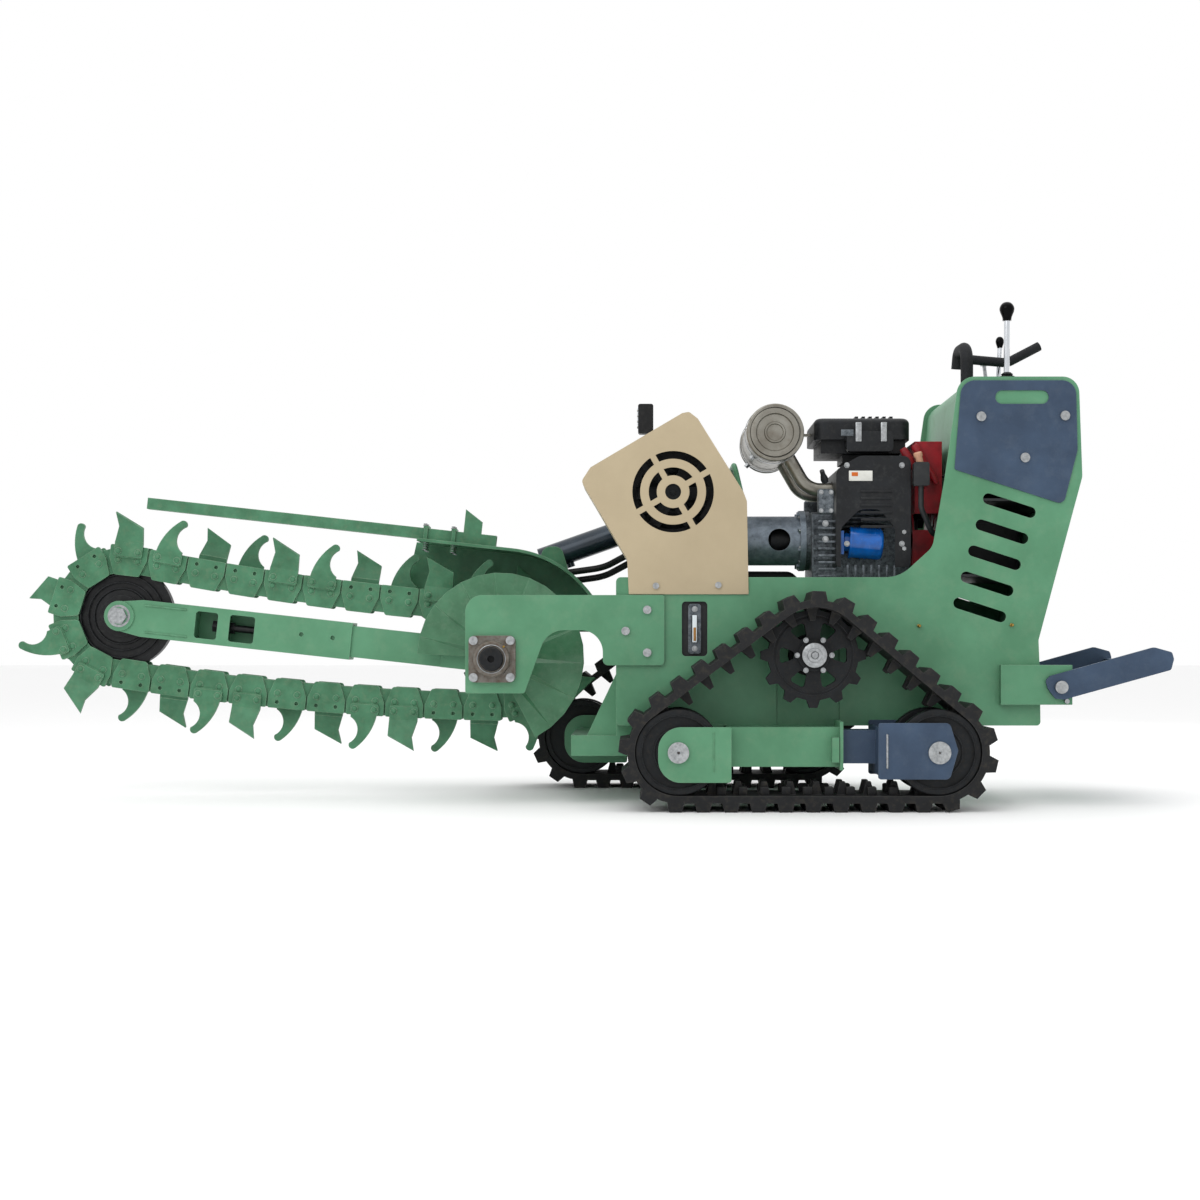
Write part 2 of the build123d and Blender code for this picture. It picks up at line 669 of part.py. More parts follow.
def hook_cutter():
    """Flat finger tooth on the near side of a link, its rounded tip leaning forward."""
    top = LINK_HEIGHT / 2
    w = OUTER_LAYER[1]
    base = boom_flat([(-38, 10), (-38, top - 2), (38, top - 2), (38, 10)], -w - 8, -w, 6)
    tip = top + CUTTER_RISE
    edge = [Line((-36, top - 4), (34, top - 4)), ThreePointArc((34, top - 4), (17, top + 46), (-19, tip - 5)),
            ThreePointArc((-19, tip - 5), (-33, tip - 6), (-35, tip - 19)),
            ThreePointArc((-35, tip - 19), (-15, top + 38), (-36, top + 6)), Line((-36, top + 6), (-36, top - 4))]
    blade = Pos(0, 0, -w - 8) * extrude(make_face(edge), amount=8, dir=(0, 0, 1))
    return drill_cutter(base + blade)


def wing_cutter():
    """Tooth plate bent outwards, which cuts the side wall of the trench."""
    top = LINK_HEIGHT / 2
    w = OUTER_LAYER[1]
    base = boom_flat([(-38, 10), (-38, top + 12), (38, top + 12), (38, 10)], -w - 8, -w, 4)
    reach = CUTTER_REACH - w - 8
    lean = math.degrees(math.atan2(reach, CUTTER_RISE - 30))
    wing = outline([(-38, 0), (-38, CUTTER_RISE - 50), (36, CUTTER_RISE - 12), (27, CUTTER_RISE - 50), (38, 0)])
    wing = Pos(0, 0, -4) * extrude(wing, amount=8, dir=(0, 0, 1))
    blade = Pos(0, top + 8, -w - 4) * Rot(-lean, 0, 0) * wing
    return drill_cutter(base + blade)


def drill_cutter(cutter):
    """Two bolt holes that line up with the link plate's holes."""
    for x in (-CHAIN_PITCH / 2, CHAIN_PITCH / 2):
        cutter -= boom_rod(x, CUTTER_BOLT_V, 5, -OUTER_LAYER[1] - 9, -OUTER_LAYER[1] + 1)
    return cutter


CHAIN_PINS, CHAIN_PITCH = chain_loop().pins(CHAIN_LINKS)


def link_places(first):
    """Places of every second link, starting from the given pin."""
    places = []
    for n in range(first, CHAIN_LINKS, 2):
        places.append(link_place(CHAIN_PINS[n], CHAIN_PINS[(n + 1) % CHAIN_LINKS]))
    return places


def digging_chain():
    """Roller links and pin links in turn, all round the boom."""
    inner = roller_link(CHAIN_PITCH)
    outer = pin_link(CHAIN_PITCH)
    links = [place * inner for place in link_places(0)]
    links += [place * outer for place in link_places(1)]
    return on_boom(group(links))


def cutters(shape, start):
    """Cutters of one kind on every second pin link, on alternate sides of the chain."""
    other = mirror(shape, about=Plane.XY)
    places = link_places(1)
    teeth = []
    for n in range(start, len(places), 2):
        near = (n // 2) % 2 == 0
        teeth.append(places[n] * (shape if near else other))
    return on_boom(group(teeth))


def hook_cutters():
    return cutters(hook_cutter(), 0)


def wing_cutters():
    return cutters(wing_cutter(), 1)


# ---------------------------------------------------------------- boom
FORK_W = 46.0               # outer faces of the fork arms about the sprocket
FORK_PLATE = 9.0
INNER_BEAM = (42.0, 30.0)   # half height, half width
OUTER_WALL = 7.0
TELESCOPE = 0.6
SLEEVE_START = BOOM_LENGTH - 626.0      # where the outer channel begins on the inner beam
INNER_END = BOOM_LENGTH - 476.0
STOP_U = BOOM_LENGTH - 280.0            # middle of the wall that the tension bolt pushes
FORK_SLOT = BOOM_LENGTH - 152.0         # from here the channel is open for the nose roller
NOSE_PIN_R = 18.0


def boom_inner_beam():
    """Beam that turns on the headshaft: a fork about the sprocket, then a box tube."""
    half_v, half_w = INNER_BEAM
    start = HEAD_PITCH_R + 25
    beam = boom_block(start, INNER_END, -half_v, half_v, -half_w, half_w)
    beam -= boom_block(start + 10, INNER_END + 1, -half_v + 7, half_v - 7, -half_w + 7, half_w - 7)
    beam += boom_block(start, start + 10, -half_v, half_v, -FORK_W, FORK_W)
    arm = boom_block(0, start + 10, -half_v, half_v, FORK_W - FORK_PLATE, FORK_W)
    arm += boom_rod(0, 0, 66, FORK_W - FORK_PLATE, FORK_W)
    far_tube = boom_rod(0, 0, 62, FORK_W, SIDE_Y - BOOM_Y - 1)
    beam += arm + mirror(arm, about=Plane.XY) + far_tube
    beam -= boom_rod(0, 0, SHAFT_R + 15, -FORK_W - 1, -FORK_W + FORK_PLATE + 1)
    beam -= boom_rod(0, 0, PIVOT_R + LOOSE, FORK_W - FORK_PLATE - 1, SIDE_Y)
    beam -= boom_rod(GUARD_BOLT_U, 0, 8, FORK_W - 20, FORK_W + 1)
    end_cap = boom_block(INNER_END - 10, INNER_END, -half_v, half_v, -half_w, half_w)
    end_cap -= Pos(INNER_END, 0, 0) * Rot(0, 90, 0) * Cylinder(TENSION_R + SEAT, 40)
    return on_boom(beam + end_cap)


GUARD_BOLT_U = 90.0
TENSION_R = 10.0


def boom_outer_channel():
    """Outer boom that slides on the inner beam, slotted at the front for the nose roller."""
    half_v = INNER_BEAM[0] + TELESCOPE + OUTER_WALL
    half_w = INNER_BEAM[1] + TELESCOPE + OUTER_WALL
    flange_end = BOOM_LENGTH - 70
    tube = boom_block(SLEEVE_START, flange_end, -half_v, half_v, -half_w, half_w)
    tube -= boom_block(SLEEVE_START - 1, flange_end + 1, -half_v + OUTER_WALL, half_v - OUTER_WALL,
                       -half_w + OUTER_WALL, half_w - OUTER_WALL)
    tube -= boom_block(FORK_SLOT, flange_end + 1, -half_v - 1, half_v + 1, -17, 17)
    arm = boom_flat([(FORK_SLOT - 40, -half_v), (FORK_SLOT - 40, half_v), (BOOM_LENGTH - 60, half_v),
                     (BOOM_LENGTH, 40), (BOOM_LENGTH, -40), (BOOM_LENGTH - 60, -half_v)],
                    half_w - OUTER_WALL, half_w)
    arm += boom_rod(BOOM_LENGTH, 0, 41, half_w - OUTER_WALL, half_w)
    arm -= boom_rod(BOOM_LENGTH, 0, NOSE_PIN_R + SEAT, half_w - OUTER_WALL - 1, half_w + 1)
    channel = tube + arm + mirror(arm, about=Plane.XY)
    wall = boom_block(FORK_SLOT - 48, FORK_SLOT - 38, -half_v, half_v, -half_w, half_w)
    stop = boom_block(STOP_U - 6, STOP_U + 6, -half_v, half_v, -half_w, half_w)
    stop -= Pos(STOP_U, 0, 0) * Rot(0, 90, 0) * Cylinder(TENSION_R + SEAT, 40)
    channel += wall + stop
    for start, end in ((STOP_U - 84, STOP_U - 16), (STOP_U + 16, STOP_U + 76)):
        channel -= boom_flat([(start, -36), (start, 36), (end, 36), (end, -36)], -half_w - 1, -half_w + 8, 8)
    for u in (SLEEVE_START + 50, SLEEVE_START + 135):
        channel -= boom_rod(u, 4, 6, -half_w - 1, -half_w + 8)
    return on_boom(channel)


def tension_bolt():
    """Threaded bolt that pushes the outer channel forward to tighten the chain."""
    bolt = Pos(STOP_U - 106, 0, 0) * Rot(0, 90, 0) * Cylinder(TENSION_R, 245)
    bolt += Pos(STOP_U + 20.5, 0, 0) * Rot(0, 90, 0) * extrude(RegularPolygon(17, 6), amount=14, both=True)
    bolt += Pos(STOP_U - 15, 0, 0) * Rot(0, 90, 0) * extrude(RegularPolygon(17, 6), amount=8, both=True)
    return on_boom(bolt)


def nose_axle():
    """Axle bolt through the fork, with its head, washers and nut."""
    half_w = INNER_BEAM[1] + TELESCOPE + OUTER_WALL
    axle = boom_rod(BOOM_LENGTH, 0, NOSE_PIN_R, -half_w - 8, half_w + 8)
    for sign in (-1, 1):
        axle += boom_rod(BOOM_LENGTH, 0, 30, min(sign * half_w, sign * (half_w + 6)),
                         max(sign * half_w, sign * (half_w + 6)))
    head = Pos(BOOM_LENGTH, 0, -half_w - 18) * extrude(RegularPolygon(24, 6), amount=13)
    nut = Pos(BOOM_LENGTH, 0, half_w + 5) * extrude(RegularPolygon(24, 6), amount=13)
    return on_boom(axle + head + nut)


def nose_roller():
    """Stepped roller that the chain turns round at the nose."""
    rim = NOSE_PITCH_R - BUSH_R - LOOSE
    half_w = INNER_BEAM[1] + TELESCOPE
    roller = boom_rod(BOOM_LENGTH, 0, rim, -12, 12)
    for sign in (-1, 1):
        face = 12 * sign
        deep = 6 * sign
        groove = boom_rod(BOOM_LENGTH, 0, rim - 16, min(face, deep), max(face, deep))
        groove -= boom_rod(BOOM_LENGTH, 0, 70, min(face, deep), max(face, deep))
        roller -= groove
    roller += boom_rod(BOOM_LENGTH, 0, 56, -20, 20)
    roller += boom_rod(BOOM_LENGTH, 0, 38, -half_w + 1, half_w - 1)
    roller -= boom_rod(BOOM_LENGTH, 0, NOSE_PIN_R + RUN, -half_w - 1, half_w + 1)
    return on_boom(roller)


GUARD_NEAR_W = -85.0
GUARD_FAR_W = 95.0
GUARD_FRONT = 300.0
GUARD_BACK_ANGLE = 139.7
GUARD_PLATE = 6.0


def chain_guard():
    """Curved guard over the chain and drive sprocket, with its far side plate."""
    r = GUARD_R
    back = math.radians(GUARD_BACK_ANGLE)
    mid = (back + math.pi / 2) / 2
    edge = [Line((GUARD_FRONT - 42, r), (0, r)),
            ThreePointArc((0, r), (r * math.cos(mid), r * math.sin(mid)), (r * math.cos(back), r * math.sin(back)))]
    path = Wire(edge)
    sheet = trace(path, 2 * GUARD_SHEET)
    sheet = Pos(0, 0, GUARD_NEAR_W) * extrude(sheet, amount=GUARD_FAR_W - GUARD_NEAR_W, dir=(0, 0, 1))
    sheet -= Pos(0, 0, GUARD_NEAR_W - 1) * extrude(
        outline([(GUARD_FRONT, r), (GUARD_FRONT, 0), (-r, 0), (-r, r * 0.1), (-r, r)]), amount=0.5,
        dir=(0, 0, 1))
    plate_edge = [Line((GUARD_FRONT, 120), (GUARD_FRONT - 20, r)), Line((GUARD_FRONT - 20, r), (0, r)),
                  edge[1], Line((r * math.cos(back), r * math.sin(back)), (-60, -20)),
                  Line((-60, -20), (60, -20)), Line((60, -20), (GUARD_FRONT, 120))]
    plate = extrude(make_face(plate_edge), amount=GUARD_PLATE, dir=(0, 0, 1))
    plate = Pos(0, 0, GUARD_FAR_W - GUARD_PLATE) * plate
    plate += boom_rod(0, 0, 78, GUARD_FAR_W - GUARD_PLATE, GUARD_FAR_W)
    plate -= boom_rod(0, 0, 62 + SEAT, GUARD_FAR_W - 10, GUARD_FAR_W + 10)
    guard = on_boom(sheet + plate)
    lug = flat([(LUG_X - 40, LUG_Z - 70), (LUG_X - 26, LUG_Z + 26), (LUG_X + 26, LUG_Z + 26),
                (LUG_X + 60, LUG_Z - 90)], BOOM_Y + GUARD_FAR_W, BOOM_Y + GUARD_FAR_W + 3,
               [4, 24, 24, 4])
    return guard + lug


LUG_X = -243.0              # front pivot of the lift cylinder, boom raised
LUG_Z = 648.0
CYLINDER_Y = BOOM_Y + GUARD_FAR_W + 5 + CYLINDER_R
BAR = 30.0


def restraint_bar():
    """Square bar along the top of the boom, with its tab and the clamps that hold it."""
    v0 = GUARD_R + GUARD_SHEET
    bar = boom_block(51, 991, v0, v0 + BAR, -50, -50 + BAR)
    bar -= boom_block(50, 992, v0 + 4, v0 + BAR - 4, -46, -24)
    tab = boom_flat([(92, v0 - 2 + BAR), (92, v0 + 62), (140, v0 + 92), (140, v0 - 2 + BAR)], -50, -44)
    parts = [bar + tab]
    for u in (165, 240):
        clamp = boom_block(u - 7, u + 7, v0 + BAR, v0 + BAR + 6, -58, -12)
        for w in (-57, -19):
            clamp += boom_block(u - 5, u + 5, v0 - 26, v0 + BAR + 6, w, w + 6)
        clamp -= boom_block(u - 8, u + 8, v0 - GUARD_SHEET * 2 - 1, v0, -60, -10)
        parts.append(clamp)
    return on_boom(group(parts))


# ---------------------------------------------------------------- lift cylinder
def cylinder_frame():
    """Cylinder's own frame: origin at its front pivot, X towards the rear pivot."""
    tilt = math.radians(CYLINDER_ANGLE)
    return Plane(origin=(LUG_X, CYLINDER_Y, LUG_Z), x_dir=(math.cos(tilt), 0, math.sin(tilt)),
                 z_dir=(0, -1, 0))


ROD_R = 17.0
GLAND = 372.0               # barrel length from the front pivot


def lift_barrel():
    """Cylinder barrel with its end block, oil ports and pivot stub."""
    barrel = rod_x(0, 0, CYLINDER_R, -34, GLAND)
    barrel -= rod_x(0, 0, CYLINDER_R - 7, 30, GLAND - 26)
    barrel -= rod_x(0, 0, ROD_R + LOOSE, 30, GLAND + 1)
    for x in (40, GLAND - 30):
        barrel += Pos(x, -CYLINDER_R - 2, 0) * Rot(90, 0, 0) * Cylinder(11, 18)
    barrel += Pos(0, 0, 0) * Cylinder(15, 2 * CYLINDER_R + 2)
    return cylinder_frame().location * barrel


def lift_rod():
    """Chromed piston rod with its piston and rear eye."""
    rod = rod_x(0, 0, ROD_R, 60, CYLINDER_CLOSED - 20)
    rod += rod_x(0, 0, CYLINDER_R - 7 - LOOSE, 36, 62)
    eye = Pos(CYLINDER_CLOSED, 0, 0) * Cylinder(26, 40)
    eye += block(CYLINDER_CLOSED - 34, CYLINDER_CLOSED, -18, 18, -18, 18)
    eye -= Pos(CYLINDER_CLOSED, 0, 0) * Cylinder(12 + RUN, 50)
    return cylinder_frame().location * (rod + eye)


def cylinder_pivot():
    """Rear pivot of the lift cylinder in the machine's own X and Z."""
    tilt = math.radians(CYLINDER_ANGLE)
    return LUG_X + CYLINDER_CLOSED * math.cos(tilt), LUG_Z + CYLINDER_CLOSED * math.sin(tilt)


def cylinder_mast():
    """Post on the far side plate with the ears and pin of the cylinder's rear pivot."""
    x, z = cylinder_pivot()
    y0 = CYLINDER_Y - 20 - LOOSE
    y1 = CYLINDER_Y + 20 + LOOSE
    points = [(x - 20, DECK_Z - 34), (x - 32, z), (x - 20, z + 28), (x + 20, z + 28), (x + 32, z),
              (x + 90, DECK_Z - 34)]
    radii = [4, 20, 16, 16, 20, 4]
    mast = flat(points, y0 - 8, y0, radii)
    mast += flat(points, y1, INNER_Y, radii)
    mast += block(x + 34, x + 70, y0 - 8, INNER_Y, DECK_Z - 34, DECK_Z + 60)
    mast += rod_y(x, z, 12, y0 - 8, INNER_Y)
    return mast


# ---------------------------------------------------------------- undercarriage
BEAM_HALF = 46.0            # half width of the track beam
FORK_HALF = 88.0            # inside of the fork plates about the track's middle
WHEEL = (52.0, 84.0)        # idler discs, from the track's middle plane
AXLE_R = 17.0
SPROCKET_HALF = 11.0
SPROCKET_TIP = SPROCKET_ROOT_R + 14


def track_circles(grow):
    """Front idler, sprocket and rear idler as circles that the belt wraps, clockwise."""
    return [
        (Vector(FRONT_IDLER_X, IDLER_Z), IDLER_R + grow),
        (Vector(SPROCKET_X, SPROCKET_Z), SPROCKET_ROOT_R + grow),
        (Vector(REAR_IDLER_X, IDLER_Z), IDLER_R + grow),
    ]


def wrap(circles):
    """Outer tangent line and arc pieces round the circles: (start, end, centre, radius)."""
    count = len(circles)
    normals = []
    for n in range(count):
        (c1, r1), (c2, r2) = circles[n], circles[(n + 1) % count]
        d = c2 - c1
        lean = math.acos((r1 - r2) / d.length)
        normals.append(angle_of(d) + lean)
    pieces = []
    for n in range(count):
        (c1, r1), (c2, r2) = circles[n], circles[(n + 1) % count]
        a = Vector(math.cos(normals[n]), math.sin(normals[n]))
        pieces.append(("line", c1 + a * r1, c2 + a * r2))
        turn = (normals[n] - normals[(n + 1) % count]) % (2 * math.pi)
        pieces.append(("arc", c2, r2, normals[n], turn))
    return pieces


def wrap_face(circles):
    """The area that a tight band round the circles encloses."""
    edges = []
    for piece in wrap(circles):
        if piece[0] == "line":
            edges.append(Line(piece[1], piece[2]))
        else:
            _, c, r, start, turn = piece
            points = [c + Vector(math.cos(start - t), math.sin(start - t)) * r for t in (0, turn / 2, turn)]
            edges.append(ThreePointArc(*points))
    return make_face(edges)


def wrap_stations(circles, count):
    """Evenly spaced places round the band: (point, outward angle in degrees)."""
    pieces = wrap(circles)
    lengths = [(p[2] - p[1]).length if p[0] == "line" else p[2] * p[4] for p in pieces]
    total = sum(lengths)
    stations = []
    for n in range(count):
        s = total * (n + 0.5) / count
        for piece, length in zip(pieces, lengths):
            if s <= length:
                break
            s -= length
        if piece[0] == "line":
            d = (piece[2] - piece[1]).normalized()
            stations.append((piece[1] + d * s, math.degrees(angle_of(Vector(-d.Y, d.X)))))
        else:
            _, c, r, start, _ = piece
            angle = start - s / r
            point = c + Vector(math.cos(angle), math.sin(angle)) * r
            stations.append((point, math.degrees(angle)))
    return stations


def track_place(sign):
    """Where an undercarriage drawn about Y = 0 goes; sign -1 is the near side."""
    return Pos(0 if sign < 0 else FAR_TRACK_SHIFT, sign * TRACK_Y, 0)


def track_belt(sign):
    """Rubber belt with treads outside and two rows of guide lugs inside."""
    half = TRACK_WIDTH / 2
    face = wrap_face(track_circles(BELT_IN + BELT)) - wrap_face(track_circles(BELT_IN))
    belt = side_plate(face, -half, half)
    groove = SPROCKET_HALF + 3
    belt -= rod_y(SPROCKET_X, SPROCKET_Z, SPROCKET_TIP + 1, -groove, groove)
    solids = [belt]
    low = BELT_IN + BELT - 1
    for point, angle in wrap_stations(track_circles(low), TREADS):
        on_ground = abs(angle + 90) < 0.1
        height = TREAD + (1.0 if on_ground else 0.4)
        tread = [(-21, 0), (-15, height), (15, height), (21, 0)]
        bar = side_plate(Pos(point.X, point.Y) * Rot(0, 0, angle - 90) * outline(tread), -half, half)
        solids.append(bar)
    for point, angle in wrap_stations(track_circles(BELT_IN + 1), TREADS):
        lug = [(-14, 0), (-6, -32), (6, -32), (14, 0)]
        place = Pos(point.X, point.Y) * Rot(0, 0, angle - 90) * outline(lug)
        for y0 in (-44, 20):
            solids.append(side_plate(place, y0, y0 + 24))
    belt = solids[0].fuse(*solids[1:])
    return track_place(sign) * belt


def track_sprocket(sign):
    """Drive sprocket with twelve teeth, six windows and a hub."""
    points = []
    for n in range(SPROCKET_TEETH):
        for offset_deg, radius in ((-8.5, SPROCKET_ROOT_R - 4), (-4.2, SPROCKET_TIP), (4.2, SPROCKET_TIP),
                                   (8.5, SPROCKET_ROOT_R - 4)):
            a = math.radians(360 / SPROCKET_TEETH * n + offset_deg)
            points.append((radius * math.cos(a), radius * math.sin(a)))
    wheel = flat(points, -SPROCKET_HALF, SPROCKET_HALF)
    wheel -= ring(0, 0, 92, 98, -SPROCKET_HALF - 1, -SPROCKET_HALF + 3)
    for n in range(6):
        window = flat([(47, -9), (82, -21), (82, 21), (47, 9)], -SPROCKET_HALF - 1, SPROCKET_HALF + 1, 7)
        wheel -= Rot(0, 60 * n, 0) * window
    wheel += rod_y(0, 0, 38, -SPROCKET_HALF - 14, SPROCKET_HALF + 20)
    nut = Pos(0, -SPROCKET_HALF - 14, 0) * Rot(90, 0, 0) * extrude(RegularPolygon(25, 6), amount=16)
    wheel += nut
    wheel -= rod_y(0, 0, AXLE_R + SEAT, -SPROCKET_HALF, SPROCKET_HALF + 30)
    wheel = wheel if sign < 0 else mirror(wheel, about=Plane.XZ)
    return track_place(sign) * Pos(SPROCKET_X, 0, SPROCKET_Z) * wheel


def track_idler(sign, x):
    """Idler wheel: two discs with the guide lugs running between them."""
    inner, outer = WHEEL
    wheel = rod_y(0, 0, 44, -outer, outer)
    for side in (-1, 1):
        y0, y1 = sorted((side * inner, side * outer))
        disc = rod_y(0, 0, IDLER_R, y0, y1)
        disc = fillet(disc.edges(), 4)
        y2, y3 = sorted((side * outer, side * (outer - 8)))
        disc -= ring(0, 0, 52, IDLER_R - 14, y2, y3)
        wheel += disc
    wheel -= rod_y(0, 0, AXLE_R + RUN, -outer - 1, outer + 1)
    return track_place(sign) * Pos(x, 0, IDLER_Z) * wheel


def fork_plates(points, radii):
    """A pair of fork plates either side of an idler."""
    plate = flat(points, -FORK_HALF - 8, -FORK_HALF, radii)
    return plate + mirror(plate, about=Plane.XZ)


BEAM_Z = (107.0, 203.0)
BEAM_X = (219.0, 490.0)


def track_frame(sign):
    """Track beam with the front idler's fork, welded to the cross tubes."""
    x0, x1 = BEAM_X
    z0, z1 = BEAM_Z
    beam = block(x0, x1, -BEAM_HALF, BEAM_HALF, z0, z1)
    beam -= block(x0 - 1, x1 + 1, -BEAM_HALF + 7, BEAM_HALF - 7, z0 + 7, z1 - 7)
    nose = FRONT_IDLER_X - 48.5
    fork = [(nose, 72), (nose, z1 + 2), (x0, z1 + 2), (x0, 72)]
    beam += fork_plates(fork, [55, 55, 4, 6])
    beam += block(x0 - 8, x0, -FORK_HALF - 8, FORK_HALF + 8, 80, z1)
    beam += block(463, 480, -BEAM_HALF - 26, BEAM_HALF + 26, 119, 179)
    beam += block(x1 - 8, x1, -BEAM_HALF - 22, BEAM_HALF + 22, 100, 217)
    beam -= block(440, x1 + 1, -BEAM_HALF + 7, BEAM_HALF - 7, z0 + 7, z1 - 7)
    beam -= rod_y(FRONT_IDLER_X, IDLER_Z, AXLE_R + SEAT, -FORK_HALF - 10, FORK_HALF + 10)
    return track_place(sign) * beam


def track_tensioner(sign):
    """Inner tube and rear fork that slide in the beam to tighten the belt."""
    z0, z1 = BEAM_Z
    gap = 7 + TELESCOPE
    x_in = 400.0
    fork_x = 571.0
    half = BEAM_HALF - gap
    tube = block(x_in, fork_x, -half, half, z0 + gap, z1 - gap)
    tube -= block(x_in - 1, fork_x - 10, -half + 6, half - 6, z0 + gap + 6, z1 - gap - 6)
    fork = [(fork_x, 80), (fork_x, 215), (742, 215), (762, 149), (742, 80)]
    tube += fork_plates(fork, [6, 6, 14, 6, 14])
    tube += block(fork_x, fork_x + 8, -FORK_HALF - 8, FORK_HALF + 8, 90, 205)
    tube -= rod_y(REAR_IDLER_X, IDLER_Z, AXLE_R + SEAT, -FORK_HALF - 10, FORK_HALF + 10)
    return track_place(sign) * tube


def idler_axles():
    """Fixed axles of the four idlers, each with an outer cap."""
    end = FORK_HALF + 8
    axles = []
    for sign in (-1, 1):
        for x, cap in ((FRONT_IDLER_X, 25.6), (REAR_IDLER_X, 27.0)):
            axle = rod_y(x, IDLER_Z, AXLE_R, -end, end)
            axle += rod_y(x, IDLER_Z, cap, -end - 7, -end)
            axle += rod_y(x, IDLER_Z, cap, end, end + 7)
            axles.append(track_place(sign) * axle)
    return group(axles)


def motor(length):
    """Hydraulic motor along Y: flange, body, end cap and ports; its shaft end at Y = 0."""
    body = rod_y(0, 0, 50, 0, 30)
    body += Pos(0, 30 + (length - 30) / 2, 0) * Box(86, length - 30, 86)
    body = fillet(body.edges().filter_by(Axis.Y), 10)
    body += Pos(0, 36, 0) * Box(126, 12, 126)
    body += rod_y(0, 0, 34, length, length + 18)
    for x in (-22, 22):
        body += rod_z(x, length - 26, 13, 40, 62)
    return body


def track_motors():
    """The two motors that drive the track sprockets, bolted inside the chassis."""
    y0 = TRACK_Y - SPROCKET_HALF - 22
    motors = []
    for sign in (-1, 1):
        x = SPROCKET_X + (0 if sign < 0 else FAR_TRACK_SHIFT)
        shaft = rod_y(0, 0, AXLE_R, -y0 + INNER_Y - 46 - 20, 0)
        unit = Pos(0, INNER_Y * -1 - 20, 0) * motor(120)
        unit += rod_y(0, 0, AXLE_R, -TRACK_Y - SPROCKET_HALF + 2, -INNER_Y)
        unit = unit if sign < 0 else mirror(unit, about=Plane.XZ)
        motors.append(Pos(x, 0, SPROCKET_Z) * unit)
    return group(motors)


def trencher_motor():
    """Motor that turns the headshaft, bolted outboard of the far bearing."""
    unit = Pos(HEAD_X, HEAD_Y_MOTOR, HEAD_Z) * motor(110)
    legs = block(HEAD_X - 63, HEAD_X - 51, BRACKET_Y, HEAD_Y_MOTOR + 42, HEAD_Z + 59, HEAD_Z + 95)
    legs += block(HEAD_X + 51, HEAD_X + 63, BRACKET_Y, HEAD_Y_MOTOR + 42, HEAD_Z + 59, HEAD_Z + 95)
    return unit + legs


HEAD_Y_MOTOR = BRACKET_Y + BEARING_DEPTH + 8 + LOOSE


# ---------------------------------------------------------------- engine
ENGINE_FRONT = 447.0
SHROUD_Y = 190.0


def engine_block():
    """Crankcase with two finned cylinders in a V across the machine."""
    base_z = DECK_Z - 14
    case = block(ENGINE_FRONT, 700, -95, 95, base_z, CRANK_Z + 70)
    case = fillet(case.edges().filter_by(Axis.X), 16)
    case += rod_x(0, CRANK_Z, 78, ENGINE_FRONT - 12, ENGINE_FRONT)
    for side in (-1, 1):
        lean = Pos(0, 0, CRANK_Z) * Rot(-45 * side, 0, 0)
        x = 572 if side < 0 else 622
        case += lean * rod_z(x, 0, 48, 60, 180)
        for n in range(6):
            case += lean * block(x - 62, x + 62, -60, 60, 84 + 15 * n, 90 + 15 * n)
        case += lean * block(x - 46, x + 46, -50, 50, 174, 202)
    case -= rod_x(0, CRANK_Z, 19 + RUN, ENGINE_FRONT - 13, 701)
    for z in (610, 636, 662, 688, 714):
        case -= block(ENGINE_FRONT + 6, ENGINE_FRONT + 60, -96, -88, z, z + 14)
    return case


def engine_shroud():
    """Black sheet cowl over the cylinders, with an arch on each side."""
    x0, x1, z1 = 500.0, 690.0, 884.0
    outer = [(x0, 600), (x0, 850), (x0 + 60, z1), (x1, z1), (x1, 600)]
    face = outline(outer, [10, 30, 30, 20, 10])
    shell = side_plate(face, -SHROUD_Y, SHROUD_Y)
    inner = [(x0 + 4, 590), (x0 + 4, 847), (x0 + 62, z1 - 4), (x1 + 1, z1 - 4), (x1 + 1, 590)]
    shell -= flat(inner, -SHROUD_Y + 4, SHROUD_Y - 4)
    shell -= block(x0 - 1, x0 + 5, -100, 100, 590, CRANK_Z + 76)
    arch = [(x0 + 12, 590), (x0 + 12, 700), (x0 + 60, 748), (x0 + 110, 748), (x0 + 150, 700),
            (x0 + 150, 590)]
    shell -= flat(arch, -SHROUD_Y - 1, SHROUD_Y + 1, [0, 24, 24, 24, 24, 0])
    shell += block(x0 + 30, x1 - 10, -60, 60, z1 - 4, 900)
    for y in (-84, 84):
        shell -= rod_x(y, PORT_Z, PIPE_R + 4, x0 - 20, x0 + 8)
    return shell


def blower_housing():
    """Round-topped housing about the flywheel fan at the rear of the engine."""
    x0, x1 = 706.0, 776.0
    z0 = DECK_Z - 14
    body = rod_x(0, CRANK_Z, 118, x0, x1) + block(x0, x1, -118, 118, z0, CRANK_Z)
    body += block(x0, x1, -150, 150, 740, 925)
    body = body - rod_x(0, CRANK_Z, 106, x0 - 1, x1 - 4) - block(x0 + 4, x1 - 4, -140, 140, 700, 915)
    for n in range(8):
        slot = Pos(x1, 0, CRANK_Z) * Rot(45 * n, 0, 0) * Pos(0, 60, 0) * Box(20, 50, 14)
        body -= slot
    return body


def crankshaft():
    """Crankshaft with the drive coupling at the front and the flywheel fan at the rear."""
    shaft = rod_x(0, CRANK_Z, 19, 330, 745)
    shaft += rod_x(0, CRANK_Z, 36, 345, 395) + rod_x(0, CRANK_Z, 28, 395, 420)
    shaft += rod_x(0, CRANK_Z, 92, 716, 724)
    for n in range(10):
        shaft += Pos(733, 0, CRANK_Z) * Rot(36 * n, 0, 0) * Pos(0, 74, 0) * Box(20, 36, 5)
    return shaft


